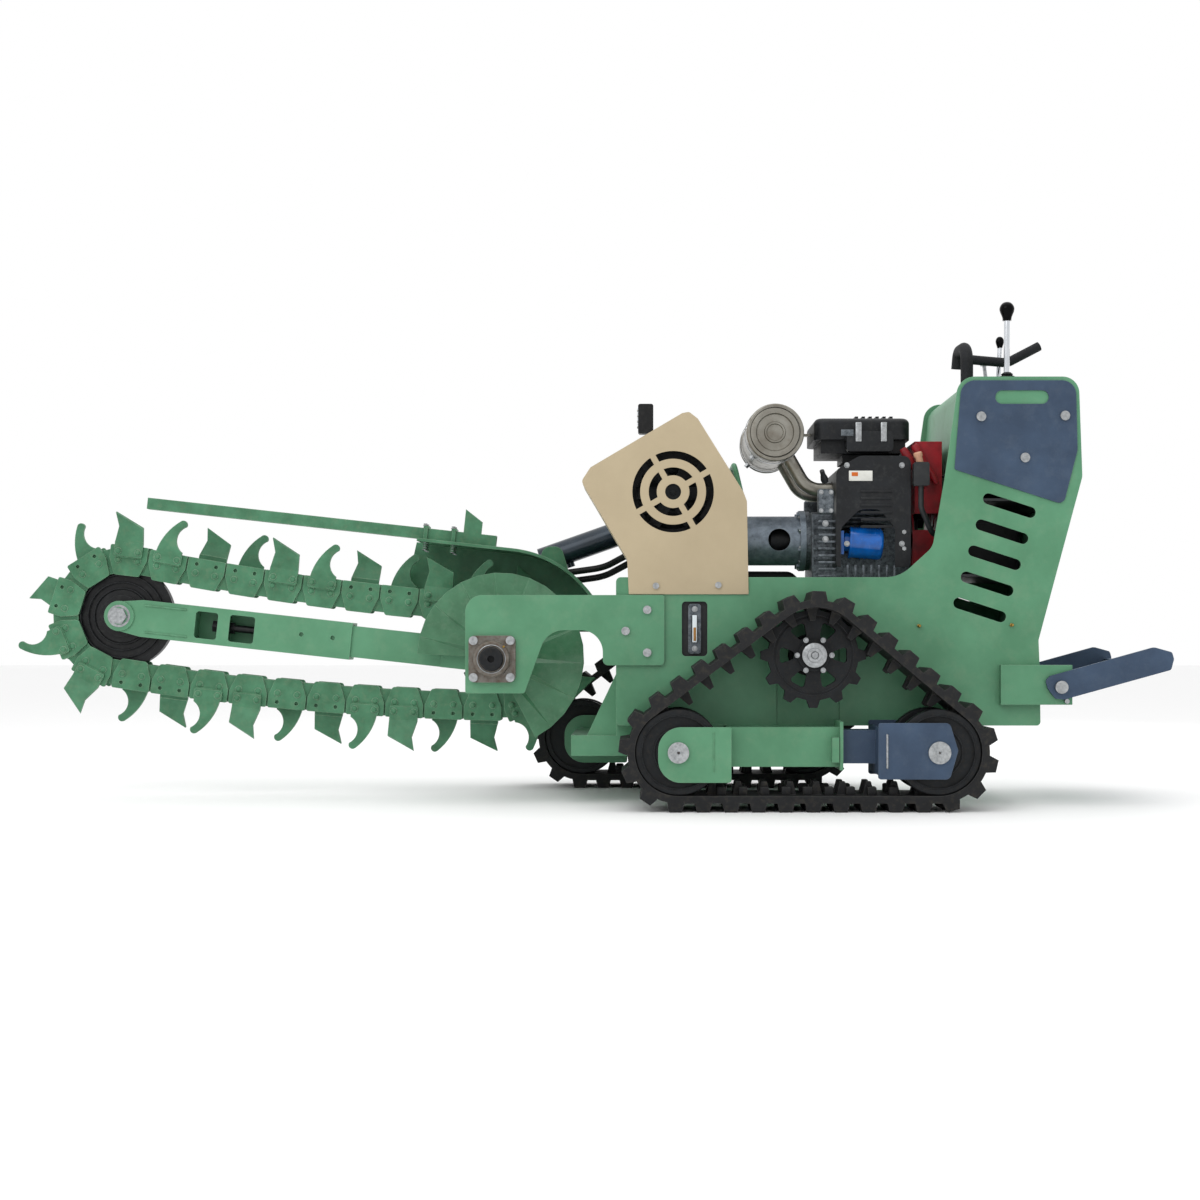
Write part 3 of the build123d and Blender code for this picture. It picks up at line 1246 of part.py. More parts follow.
def air_cleaner():
    """Air cleaner housing on top of the engine, with its ribbed lid and latch box."""
    body = block(AIR_FRONT, 700, -118, 118, 934, 990)
    body = fillet(body.edges().filter_by(Axis.Z), 26)
    body = fillet(body.faces().sort_by(Axis.Z)[-1].edges(), 14)
    body += block(470, 690, -96, 96, 900, 935)
    for x in range(560, 668, 18):
        body += block(x, x + 8, -90, 90, 989, 997)
    latch = fillet(block(532, 652, -146, -116, 900, 952).edges().filter_by(Axis.Y), 10)
    return body + latch


def oil_filter():
    """Spin-on oil filter, with its flats and base."""
    can = rod_x(0, 0, 40, 0, 84)
    can = fillet(can.faces().sort_by(Axis.X)[-1].edges(), 10)
    can += rod_x(0, 0, 42, -3, 3) + rod_x(0, 0, 24, -16, -3)
    for n in range(10):
        can -= Rot(36 * n, 0, 0) * Pos(78, 44, 0) * Box(18, 10, 9)
    place = Pos(539, -146, 666) * Rot(0, 4, 0)
    filter_base = block(505, 521, -178, -95, 634, 694)
    return place * can, filter_base


MUFFLER_HALF = 165.0


def muffler():
    """Barrel muffler across the machine, with rolled rims and two exhaust pipes."""
    shell = rod_y(MUFFLER_X, MUFFLER_Z, MUFFLER_R - 4, -MUFFLER_HALF + 8, MUFFLER_HALF - 8)
    for side in (-1, 1):
        y0, y1 = sorted((side * (MUFFLER_HALF - 12), side * MUFFLER_HALF))
        rim = rod_y(MUFFLER_X, MUFFLER_Z, MUFFLER_R, y0, y1)
        rim = fillet(rim.edges(), 4)
        y2, y3 = sorted((side * (MUFFLER_HALF - 6), side * (MUFFLER_HALF + 1)))
        rim -= rod_y(MUFFLER_X, MUFFLER_Z, MUFFLER_R - 9, y2, y3)
        shell += rim
    for y in (-84, 84):
        shell += hose([(MUFFLER_X + 30, y, MUFFLER_Z - 40), (MUFFLER_X + 88, y, PORT_Z), (PORT_X, y, PORT_Z)],
                      [60], PIPE_R)
    shell += block(MUFFLER_X + 30, AIR_FRONT - 0.3, -12, 12, MUFFLER_Z + 8, MUFFLER_Z + 14)
    return shell


PORT_X = 509.6              # exhaust ports on the cylinders
PORT_Z = 806.0
PIPE_R = 18.0
AIR_FRONT = 452.0


def coupling_drum():
    """Drum between the engine and the pump, with round windows and a bolted flange."""
    drum = rod_x(0, CRANK_Z, 65, 279, 420) + rod_x(0, CRANK_Z, 80, 420, ENGINE_FRONT - 12)
    drum -= rod_x(0, CRANK_Z, 56, 290, ENGINE_FRONT - 11)
    drum -= rod_x(0, CRANK_Z, 24, 270, 300)
    drum -= Pos(365, 0, CRANK_Z) * Rot(90, 0, 0) * Cylinder(29, 200)
    for n in range(8):
        head = Rot(45 * n + 22, 0, 0) * Pos(0, 73, 0)
        drum += Pos(417, 0, CRANK_Z) * head * Rot(0, 90, 0) * Cylinder(6, 8)
    return drum


def hydraulic_pump():
    """Gear pump in front of the drum, with its ports and drive spigot."""
    pump = block(176, 279, -46, 46, CRANK_Z - 56, CRANK_Z + 56)
    pump = fillet(pump.edges().filter_by(Axis.X), 14)
    pump += block(262, 279, -62, 62, CRANK_Z - 62, CRANK_Z + 62)
    pump += rod_x(0, CRANK_Z, 23, 279, 329)
    pump += rod_z(215, 0, 16, CRANK_Z + 50, CRANK_Z + 74)
    pump += rod_z(215, 0, 16, CRANK_Z - 74, CRANK_Z - 50)
    pump += block(190, 230, -120, 120, CRANK_Z - 62, CRANK_Z - 52)
    for y in (-120, 112):
        pump += block(190, 230, y, y + 8, DECK_Z - 34, CRANK_Z - 52)
    pump += block(186, 250, -120, 120, DECK_Z - 40, DECK_Z - 34)
    return pump


def battery():
    """Starter battery low in the console, with its two posts."""
    case = fillet(block(850, 990, -90, 90, 580, 730).edges().filter_by(Axis.Z), 8)
    case += block(846, 994, -94, 94, 718, 726)
    for y in (-60, 60):
        case += rod_z(870, y, 9, 729, 744)
    return case


def battery_shelf():
    """Shelf between the side plates that the battery stands on."""
    return block(PANEL_X + PANEL, 1000, -INNER_Y, INNER_Y, 574, 580)


def fuel_tank():
    """Fuel tank in the console, with its filler neck and cap through the top panel."""
    tank = block(842, 1050, -200, 200, 790, 985)
    tank = fillet(tank.edges().filter_by(Axis.Y), 30)
    tank += rod_z(*FILLER, FILLER_R, 980, PANEL_TOP + 4)
    tank += rod_z(*FILLER, FILLER_R + 12, PANEL_TOP + 0.3, PANEL_TOP + 24)
    for y in (-150, 130):
        tank += block(860, 1030, y, y + 20, 770, 792)
    return tank


def tank_shelf():
    """Shelf under the fuel tank."""
    return block(PANEL_X + PANEL, 1076, -INNER_Y, INNER_Y, 764, 770)


def battery_leads():
    """Jump connector and the leads that run from it to the console."""
    plug = fillet(block(694, 734, -214, -190, 806, 866).edges().filter_by(Axis.Y), 6)
    lead = hose([(714, -202, 806), (714, -202, 750), (742, -190, 690), (766, -150, 680),
                 (PANEL_X - PANEL / 2 - 0.3, -150, 680)], [40, 30, 16], 7)
    return group([plug, lead])


# ---------------------------------------------------------------- hoses
HOSE_R = 9.0


def hose(points, radii, radius=HOSE_R):
    """A hose along straight runs joined by tangent arcs."""
    path = FilletPolyline(*points, radius=radii)
    return sweep(Plane(origin=path @ 0, z_dir=path % 0) * Circle(radius), path=path)


def hydraulic_hoses():
    """Pressure and return hoses of the trencher motor, and the pump's suction hose."""
    motor_y = HEAD_Y_MOTOR + 110 - 26
    hoses = []
    for x, y in ((-22, 0), (22, 24)):
        start = (HEAD_X + x, motor_y, HEAD_Z + 62)
        hoses.append(hose([start, (HEAD_X + x, motor_y, 545 + y), (-230, 238 - y, 575 + y),
                           (-100, 222 - y, 592 + y), (20, 100 - y, 650 + y), (110, 100 - y, 650 + y)],
                          [60, 90, 90, 70]))
    hoses.append(hose([(215, 0, CRANK_Z - 74), (215, 0, CRANK_Z - 100), (290, 30, 588), (400, 40, 588),
                       (430, 40, DECK_Z - 14)], [18, 24, 22], 11))
    return group(hoses)


def hose_block():
    """Manifold block on the chassis that the motor's hoses end in."""
    x, y = 110, 88
    return block(x, x + 60, y - 30, y + 30, 620, 700) + block(x + 20, x + 40, y - 10, y + 10, 536, 621)


# ---------------------------------------------------------------- console
LEVER_X = 935.0
LEVER_Z = 1015.0


def lever_shaft():
    """Fixed cross shaft in the console that the levers turn on."""
    return rod_y(LEVER_X, LEVER_Z, 8, -INNER_Y, INNER_Y)


def lever_stem(y, top_x, top_z, radius):
    """A lever: a boss on the cross shaft and a straight round stem."""
    dx, dz = top_x - LEVER_X, top_z - LEVER_Z
    length = math.hypot(dx, dz)
    angle = math.degrees(math.atan2(dx, dz))
    stem = Pos(LEVER_X, y, LEVER_Z) * Rot(0, angle, 0) * rod_z(0, 0, radius, 14, length)
    boss = rod_y(LEVER_X, LEVER_Z, 16, y - 9, y + 9)
    return boss + stem - rod_y(LEVER_X, LEVER_Z, 8 + RUN, y - 10, y + 10)


def drive_lever():
    """Long chromed lever that drives the tracks."""
    return lever_stem(-180, 937, 1229.8, 7.5)


def pear_knob(x, y, z, radius, height):
    """A pear-shaped knob, widest near its top."""
    profile = [Line((0, 0), (radius * 0.6, 0)),
               Spline((radius * 0.6, 0), (radius * 0.66, height * 0.2), (radius, height * 0.64),
                      (radius * 0.62, height * 0.93), (0, height)),
               Line((0, height), (0, 0))]
    face = Plane.XZ * make_face(profile)
    return Pos(x, y, z) * revolve(face, axis=Axis.Z)


def drive_knob():
    return pear_knob(937, -180, 1230, 19, 47.5)


def boom_lever():
    """Short lever that raises and lowers the boom."""
    return lever_stem(-60, 943, 1180, 6) + pear_knob(943, -60, 1176, 11, 34)


def throttle_lever():
    """Small capped lever for the engine's speed."""
    return lever_stem(20, 917, 1150, 5) + rod_z(917, 20, 10, 1146, 1160)


def handlebar():
    """Hooked grip bar on the console, with its cross bar and rising end grip."""
    x, y = GRIP_X, GRIP_Y
    bar = hose([(x, y, TOWER_TOP - 60), (x, y, 1168), (x - 2, y + 105, 1172), (x - 4, y + 114, 1128)],
               [42, 26], GRIP_R)
    bar += hose([(x, y, 1136), (x + 110, y + 32, 1132), (x + 194, y + 38, 1176)], [40], 12)
    bar += block(824, 856, -170, -130, TOWER_TOP - 62, TOWER_TOP - 50)
    return bar


def handlebar_seat():
    """Bracket inside the console's front panel that the grip bar is bolted to."""
    return block(824, 880, -INNER_Y, -120, TOWER_TOP - 68, TOWER_TOP - 62)


# ---------------------------------------------------------------- platform
ARM_Y = SIDE_Y + PLATFORM_BOX_DEPTH + 2
ARM_HALF = 34.0


def stand_platform():
    """Hinged platform for the operator: two side arms, a floor and a front cross strip."""
    length = PLATFORM_LENGTH
    half = ARM_HALF
    arm = [(-32, 6), (-32, half - 8), (-18, half), (length - 40, half), (length, 10),
           (length, -8), (length - 14, -half + 2), (0, -half + 2), (-20, -half + 10), (-28, -6)]
    arm = flat(arm, -ARM_Y - 8, -ARM_Y, [5, 10, 10, 20, 8, 8, 8, 8, 6, 5])
    arm -= rod_y(0, 0, 10 + RUN, -ARM_Y - 9, -ARM_Y + 1)
    floor = block(74, length - 16, -ARM_Y, ARM_Y, -half + 2, -half + 8)
    floor += block(74, 80, -ARM_Y, ARM_Y, -half + 2, 10)
    floor += block(length - 22, length - 16, -ARM_Y, ARM_Y, -half + 2, -6)
    for n in range(5):
        x = 100 + 34 * n
        floor += block(x, x + 8, -ARM_Y + 20, ARM_Y - 20, -half + 8, -half + 12)
    platform = floor + arm + mirror(arm, about=Plane.XZ)
    return Pos(PLATFORM_X, 0, PLATFORM_Z) * Rot(0, -PLATFORM_TILT, 0) * platform


def platform_stops():
    """Rubber stops that the arms rest on, one under each bracket."""
    radius = 6.0
    tilt = math.radians(PLATFORM_TILT)
    along, below = 6.0, ARM_HALF - 2 + radius + 0.3
    x = PLATFORM_X + along * math.cos(tilt) + below * math.sin(tilt)
    z = PLATFORM_Z + along * math.sin(tilt) - below * math.cos(tilt)
    return group(both_sides(rod_y(x, z, radius, -ARM_Y - 8, -SIDE_Y - PLATFORM_BOX_DEPTH)))


# ---------------------------------------------------------------- fasteners
def chassis_bolts():
    """Bolts that can be seen: bracket, bearing, cover, console and platform bolts."""
    bolts = []
    for x, z in BRACKET_BOLTS:
        bolts += both_sides(bolt_y(x, z, BRACKET_BOLT_R, -BRACKET_Y, -SIDE_Y, 7))
    for x, z in bearing_holes():
        bolts += both_sides(bolt_y(x, z, BEARING_BOLT_R, -BRACKET_Y - 14, -SIDE_Y, 8))
    for x, z in COVER_BOLTS:
        bolts += both_sides(bolt_y(x, z, COVER_BOLT_R, -SIDE_Y - 4, -SIDE_Y, 6))
    for x, z in COVER_SCREWS:
        bolts.append(bolt_y(x, z, COVER_SCREW_R, -SIDE_Y - 4, -SIDE_Y, 5))
    pivot = rod_y(PLATFORM_X, PLATFORM_Z, 10, -ARM_Y - 10, -INNER_Y + 12)
    pivot += rod_y(PLATFORM_X, PLATFORM_Z, 16, -ARM_Y - 20, -ARM_Y - 9)
    bolts += both_sides(pivot)
    return group(bolts)


def build():
    """Every node by name."""
    filter_can, filter_base = oil_filter()
    return {
        "side_plate_near": chassis_side(-1),
        "side_plate_far": chassis_side(1),
        "belly_frame": group([belly_frame(), engine_deck()]),
        "tower_shell": tower_shell(),
        "tower_cover_plates": tower_cover_plates(),
        "oil_level_gauge": oil_level_gauge(),
        "oil_tank": oil_tank(),
        "cooler_cover": cooler_cover(),
        "oil_cooler": oil_cooler() + fan_mount(),
        "cooler_fan": cooler_fan(),
        "lifting_bail": lifting_bail(),
        "work_lamp": work_lamp(),
        "headshaft_bracket_near": headshaft_bracket(-1),
        "headshaft_bracket_far": headshaft_bracket(1),
        "headshaft_bearings": headshaft_bearings(),
        "headshaft": group([headshaft(), chain_sprocket()]),
        "auger": auger(),
        "digging_chain": digging_chain(),
        "hook_cutters": hook_cutters(),
        "wing_cutters": wing_cutters(),
        "boom_inner_beam": boom_inner_beam(),
        "boom_outer_channel": boom_outer_channel(),
        "tension_bolt": tension_bolt(),
        "nose_axle": nose_axle(),
        "nose_roller": nose_roller(),
        "chain_guard": chain_guard(),
        "restraint_bar": restraint_bar(),
        "lift_barrel": lift_barrel(),
        "lift_rod": lift_rod(),
        "cylinder_mast": cylinder_mast(),
        "track_belt_near": track_belt(-1),
        "track_belt_far": track_belt(1),
        "track_sprocket_near": track_sprocket(-1),
        "track_sprocket_far": track_sprocket(1),
        "front_idler_near": track_idler(-1, FRONT_IDLER_X),
        "rear_idler_near": track_idler(-1, REAR_IDLER_X),
        "front_idler_far": track_idler(1, FRONT_IDLER_X),
        "rear_idler_far": track_idler(1, REAR_IDLER_X),
        "track_frames": group([track_frame(-1), track_frame(1)]),
        "track_tensioners": group([track_tensioner(-1), track_tensioner(1)]),
        "idler_axles": idler_axles(),
        "hydraulic_motors": group([track_motors(), trencher_motor()]),
        "engine_block": engine_block(),
        "engine_shroud": engine_shroud(),
        "blower_housing": blower_housing(),
        "crankshaft": crankshaft(),
        "air_cleaner": air_cleaner(),
        "oil_filter": group([filter_can, filter_base]),
        "muffler": muffler(),
        "coupling_drum": coupling_drum(),
        "hydraulic_pump": hydraulic_pump(),
        "battery": group([battery(), battery_shelf(), battery_leads()]),
        "fuel_tank": group([fuel_tank(), tank_shelf()]),
        "hydraulic_hoses": group([hydraulic_hoses(), hose_block()]),
        "drive_lever": group([drive_lever(), drive_knob()]),
        "boom_lever": boom_lever(),
        "throttle_lever": throttle_lever(),
        "handlebar": group([handlebar(), handlebar_seat(), lever_shaft()]),
        "stand_platform": stand_platform(),
        "chassis_bolts": group([chassis_bolts(), platform_stops()]),
    }


def main():
    parts = build()
    os.makedirs("parts", exist_ok=True)
    box = Compound([s for part in parts.values() for s in part.solids()]).bounding_box()
    shift = Pos(-(box.min.X + box.max.X) / 2, -(box.min.Y + box.max.Y) / 2, -box.min.Z)
    for name, part in parts.items():
        export_step(shift * part, f"parts/{name}.step")
    print("origin shift", -(box.min.X + box.max.X) / 2, -(box.min.Y + box.max.Y) / 2, -box.min.Z)
    print("size", box.size)


if __name__ == "__main__":
    main()
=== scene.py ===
import json
import math
import bmesh
import bpy
from bpy.props import FloatProperty, FloatVectorProperty, IntProperty, PointerProperty
from mathutils import Matrix, Vector

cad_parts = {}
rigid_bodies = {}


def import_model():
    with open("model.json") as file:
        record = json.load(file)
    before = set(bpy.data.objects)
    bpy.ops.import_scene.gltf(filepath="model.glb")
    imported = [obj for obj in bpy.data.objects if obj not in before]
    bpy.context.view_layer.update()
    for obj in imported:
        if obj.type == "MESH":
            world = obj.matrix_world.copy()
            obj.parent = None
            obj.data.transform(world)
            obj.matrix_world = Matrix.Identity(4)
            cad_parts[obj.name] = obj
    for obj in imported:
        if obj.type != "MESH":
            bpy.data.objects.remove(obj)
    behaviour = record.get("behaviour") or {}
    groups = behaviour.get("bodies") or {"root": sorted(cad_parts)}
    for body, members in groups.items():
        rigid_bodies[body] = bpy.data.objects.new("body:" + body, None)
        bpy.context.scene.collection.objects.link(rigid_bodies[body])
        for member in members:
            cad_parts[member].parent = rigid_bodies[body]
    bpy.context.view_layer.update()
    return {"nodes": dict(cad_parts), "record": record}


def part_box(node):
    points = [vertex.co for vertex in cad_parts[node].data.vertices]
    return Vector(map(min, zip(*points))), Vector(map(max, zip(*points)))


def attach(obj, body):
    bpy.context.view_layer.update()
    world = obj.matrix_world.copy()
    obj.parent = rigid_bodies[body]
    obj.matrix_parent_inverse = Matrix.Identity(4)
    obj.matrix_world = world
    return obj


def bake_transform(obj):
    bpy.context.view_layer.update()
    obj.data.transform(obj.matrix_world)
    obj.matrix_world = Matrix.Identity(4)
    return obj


bl_info = {
    "name": "Tracked trencher",
    "version": (1, 0, 0),
    "blender": (4, 5, 0),
    "location": "3D View > Sidebar > Trencher",
    "description": "Finishes and small hardware for a tracked walk-behind trencher",
    "category": "Object",
}

for leftover in list(bpy.data.objects):
    bpy.data.objects.remove(leftover)
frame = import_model()
NODES = frame["nodes"]
SLOTS = {part["node"]: part["material_slot"] for part in frame["record"]["subparts"]}
JOINTS = {joint["name"]: joint for joint in frame["record"]["behaviour"]["joints"]}
FINISHES = {}
BOOM_SLOPE = -6.26                              # degrees from level of the raised boom, head to nose
CLAMP_X = (-0.401, -0.326)                      # the restraint bar's two clamps
CLAMP_Z, CLAMP_DROP = 0.6996, 0.008             # height of the first clamp, and the fall to the next
SILENCER_AXIS = Vector((0.5188, 0, 0.947))
SILENCER_STRAPS = (-0.105, 0.105)               # places of its two straps across the machine
COOLER_COVER_INSIDE = -0.196                    # inner face that carries the fan's ring
BAIL_WELD_Z = 0.562                             # top of the deck at the lifting bail's feet
FORK_FACE, BEAM_FACE = 0.4615, 0.461            # outer faces of the track's fork plates and beams
PLATE_FACE = 0.262                              # outer face of a side plate
GREASE_POINTS = ((0.872, 0.450), (1.104, 0.452))


# ------------------------------------------------------------------ colour and nodes
def linear(code):
    """An sRGB hex colour as linear red, green, blue, alpha."""
    values = [int(code[i:i + 2], 16) / 255 for i in (1, 3, 5)]
    return [v / 12.92 if v <= 0.04045 else ((v + 0.055) / 1.055) ** 2.4 for v in values] + [1.0]


def add(tree, kind, settings=None, values=None, links=None):
    """Adds one node. settings are its attributes, values its input defaults, links its inputs' sources."""
    node = tree.nodes.new(kind)
    for key, value in (settings or {}).items():
        setattr(node, key, value)
    for key, value in (values or {}).items():
        node.inputs[key].default_value = value
    for key, source in (links or {}).items():
        tree.links.new(source, node.inputs[key])
    return node


def surface(name, base, shade, patch=0.09, grain=0.002, bump=0.00006, rough=(0.35, 0.5), dust=None,
            dusty=0.0, edge=None, edge_width=0.0015, metallic=0.0, coat=0.0, specular=0.28, split=None):
    """A finish with slow colour patches, fine relief, dust in the hollows of a pattern, and lighter rims at
    edges that are partly rubbed wear and partly a painted highlight.

    patch and grain are the sizes in metres of the colour patches and of the relief.
    split is (axis, metres, colour) for a part that changes colour above a height.
    """
    material = bpy.data.materials.new(name)
    material.use_nodes = True
    tree = material.node_tree
    shader = tree.nodes["Principled BSDF"]
    where = add(tree, "ShaderNodeTexCoord").outputs["Object"]
    slow = add(tree, "ShaderNodeTexNoise", values={"Scale": 1 / patch, "Detail": 5.0, "Roughness": 0.6},
               links={"Vector": where})
    fine = add(tree, "ShaderNodeTexNoise", values={"Scale": 1 / grain, "Detail": 3.0, "Roughness": 0.65},
               links={"Vector": where})
    ramp = add(tree, "ShaderNodeValToRGB", links={"Fac": slow.outputs["Fac"]})
    ramp.color_ramp.elements[0].position = 0.34
    ramp.color_ramp.elements[0].color = linear(shade)
    ramp.color_ramp.elements[1].position = 0.66
    ramp.color_ramp.elements[1].color = linear(base)
    colour = ramp.outputs["Color"]
    if split:
        axis, level, other = split
        parts = add(tree, "ShaderNodeSeparateXYZ", links={"Vector": where})
        above = add(tree, "ShaderNodeMath", {"operation": "GREATER_THAN"}, {1: level},
                    {0: parts.outputs[axis]})
        mix = add(tree, "ShaderNodeMix", {"data_type": "RGBA"}, {7: linear(other)},
                  {0: above.outputs[0], 6: colour})
        colour = mix.outputs[2]
    roughness = add(tree, "ShaderNodeMapRange", values={"To Min": rough[0], "To Max": rough[1]},
                    links={"Value": slow.outputs["Fac"]}).outputs["Result"]
    if dust:
        spots = add(tree, "ShaderNodeTexNoise",
                    values={"Scale": 1 / (patch * 0.35), "Detail": 9.0, "Roughness": 0.72},
                    links={"Vector": where})
        amount = add(tree, "ShaderNodeMapRange",
                     values={"From Min": 0.50, "From Max": 0.78, "To Max": dusty},
                     links={"Value": spots.outputs["Fac"]})
        mix = add(tree, "ShaderNodeMix", {"data_type": "RGBA"}, {7: linear(dust)},
                  {0: amount.outputs["Result"], 6: colour})
        colour = mix.outputs[2]
        add_rough = add(tree, "ShaderNodeMath", {"operation": "ADD", "use_clamp": True},
                        links={0: roughness, 1: amount.outputs["Result"]})
        roughness = add_rough.outputs[0]
    relief = add(tree, "ShaderNodeBump", values={"Strength": 0.7, "Distance": bump * 10},
                 links={"Height": fine.outputs["Fac"]})
    # edge is the rim colour: lighter than the base and painted along every edge, partly as rubbed wear and
    # partly as a painted highlight
    if edge:
        soft = add(tree, "ShaderNodeBevel", {"samples": 4}, {"Radius": edge_width})
        flat = add(tree, "ShaderNodeNewGeometry")
        same = add(tree, "ShaderNodeVectorMath", {"operation": "DOT_PRODUCT"},
                   links={0: soft.outputs["Normal"], 1: flat.outputs["Normal"]})
        rim_wear_and_highlight = add(tree, "ShaderNodeMapRange",
                  values={"From Min": 0.985, "From Max": 0.90, "To Max": 0.75},
                  links={"Value": same.outputs["Value"]})
        patchy_rim_wear_and_highlight = add(tree, "ShaderNodeMath", {"operation": "MULTIPLY"},
                     links={0: rim_wear_and_highlight.outputs["Result"], 1: slow.outputs["Fac"]})
        mix = add(tree, "ShaderNodeMix", {"data_type": "RGBA"}, {7: linear(edge)},
                  {0: patchy_rim_wear_and_highlight.outputs[0], 6: colour})
        colour = mix.outputs[2]
        tree.links.new(soft.outputs["Normal"], relief.inputs["Normal"])
    tree.links.new(colour, shader.inputs["Base Color"])
    tree.links.new(roughness, shader.inputs["Roughness"])
    tree.links.new(relief.outputs["Normal"], shader.inputs["Normal"])
    shader.inputs["Metallic"].default_value = metallic
    shader.inputs["Specular IOR Level"].default_value = 0.5 if metallic else specular
    shader.inputs["Coat Weight"].default_value = coat
    shader.inputs["Coat Roughness"].default_value = 0.15
    FINISHES[name] = material
    return material


def striped(material, axis, pitch, depth):
    """Presses fine parallel fins, pitch metres apart along an axis, into a finish."""
    tree = material.node_tree
    shader = tree.nodes["Principled BSDF"]
    where = add(tree, "ShaderNodeTexCoord").outputs["Object"]
    wave = add(tree, "ShaderNodeTexWave", {"bands_direction": axis, "wave_profile": "SAW"},
               {"Scale": 0.314 / pitch, "Distortion": 0.0}, {"Vector": where})
    below = shader.inputs["Normal"].links[0].from_socket
    fins = add(tree, "ShaderNodeBump", values={"Strength": 1.0, "Distance": depth},
               links={"Height": wave.outputs["Fac"], "Normal": below})
    tree.links.new(fins.outputs["Normal"], shader.inputs["Normal"])


def make_finishes(look):
    """Every paint, metal, rubber and plastic on the machine."""
    # In each finish the colour after the dust amount is its rim colour, partly rubbed wear and partly a
    # painted highlight. Satin alkyd enamel sprayed over shot-blasted plate: slight orange peel about 2 mm
    # across, dust low in it, and lighter rims at plate edges, partly rubbed where handled and partly a
    # painted highlight.
    surface("satin_enamel", "#5b9270", "#4f8362", 0.16, 0.0022, 0.00001, (0.34, 0.5), "#9aa58c", 0.16,
            "#a9c9ae", coat=0.06)
    # The same enamel on parts that meet soil: more dust, and pale rims that are partly chipped paint showing
    # primer and partly a painted highlight.
    surface("worn_enamel", "#4a8060", "#3a6a4c", 0.05, 0.0018, 0.000014, (0.38, 0.6), "#8d9077", 0.26,
            "#b7d0b4", 0.0025, coat=0.05)
    # Enamel on the rolled auger sheet, scoured smoother by spoil.
    surface("scoured_enamel", "#4a7d5c", "#3b6a4b", 0.07, 0.003, 0.000008, (0.26, 0.42), "#93a78f", 0.2,
            "#b2cfb6", coat=0.2)
    # Sand-coloured polyester powder coat: even, with a fine 1 mm pebble.
    surface("sand_powder_coat", "#b5a689", "#ad9e82", 0.2, 0.0013, 0.00001, (0.42, 0.5), "#a99b7c", 0.12,
            "#e0d2b0")
    # Dark slate powder coat, fine texture about 0.8 mm, drawn at 1.2 mm so that it shows.
    surface("slate_powder_coat", "#3d4f66", "#324257", 0.1, 0.0012, 0.000014, (0.45, 0.6), "#6a747d", 0.2,
            "#8795a3")
    # Satin black enamel on small steel parts.
    surface("black_enamel", "#0e1013", "#08090b", 0.05, 0.0015, 0.000008, (0.3, 0.45), "#5b5c58", 0.2,
            "#55585c")
    # Machined cast iron, oil-darkened, casting grain about 1.5 mm.
    surface("dark_cast_iron", "#1d2023", "#121416", 0.03, 0.0015, 0.00003, (0.4, 0.62), "#5d5449", 0.25,
            "#5d6064", metallic=0.6)
    # Grey iron housing with a bloom of rust.
    surface("rusting_iron", "#7d7a74", "#5b544b", 0.02, 0.0014, 0.00003, (0.4, 0.65), "#7a4a2c", 0.5,
            "#a9a6a0", metallic=0.7)
    # Zinc plating: bright and slightly mottled.
    surface("zinc_plate", "#b3b6b8", "#8e9193", 0.008, 0.0009, 0.00001, (0.25, 0.42), "#7b6c58", 0.25,
            metallic=1.0)
    # Hard chrome on the rod and lever stems; the knob above it is moulded phenolic.
    surface("hard_chrome", "#d3d6da", "#c6cacf", 0.05, 0.004, 0.000001, (0.06, 0.14), metallic=1.0)
    surface("chrome_and_knob", "#d3d6da", "#c6cacf", 0.05, 0.004, 0.000001, (0.1, 0.2), metallic=0.9,
            split=("Z", look.knob_height, "#0b0c0d"))
    # The same stem on the shorter boom lever, whose knob starts lower.
    surface("short_lever_chrome", "#d3d6da", "#c6cacf", 0.05, 0.004, 0.000001, (0.1, 0.2), metallic=0.9,
            split=("Z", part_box("boom_lever")[1][2] - 0.030, "#0b0c0d"))
    # Lighter blue-grey casting of the pump housing.
    surface("cast_pump_housing", "#8b97a3", "#6c7681", 0.02, 0.0013, 0.00003, (0.35, 0.55), "#3a3733",
            0.35, "#b9c0c6", metallic=0.55)
    # Pressed steel silencer, straw and blue from heat, with soot freckles.
    surface("heat_tinted_steel", "#96948c", "#77736a", 0.08, 0.0013, 0.00001, (0.24, 0.38), "#5a4a3b",
            0.4, metallic=0.8)
    # Pressure die-cast aluminium, sand-dull with grey grime between fins.
    surface("die_cast_aluminium", "#737a80", "#454b50", 0.012, 0.0012, 0.00003, (0.35, 0.6), "#1c1b1a",
            0.7, "#a8acaf", metallic=0.8)
    # Grained black polypropylene mouldings.
    surface("black_moulding", "#181b1f", "#0f1114", 0.04, 0.0011, 0.000022, (0.38, 0.52), "#6d6d68", 0.16,
            "#4c4f52")
    # Blow-moulded polyethylene: softly waxy, a little lighter than the mouldings.
    surface("blow_moulded_tank", "#2c2e30", "#212325", 0.06, 0.002, 0.00002, (0.35, 0.5), "#6b6a64", 0.15)
    # Red moulded nylon of the blower housing.
    surface("red_moulding", "#9a1722", "#6d0f18", 0.04, 0.0012, 0.00001, (0.35, 0.5), "#6b5247", 0.2,
            "#b8545a")
    # Gloss blue lacquer on the filter can.
    surface("blue_lacquer", "#0560b8", "#044a93", 0.03, 0.003, 0.000003, (0.15, 0.25), "#5b6f7c", 0.15,
            coat=0.5)
    # Vulcanised track rubber, moulded grain and dry dust worked into it.
    surface("track_rubber_grey", "#1c1d1f", "#131416", 0.05, 0.0016, 0.00004, (0.55, 0.75), "#6b6456",
            0.3, "#5b5b58", 0.003)
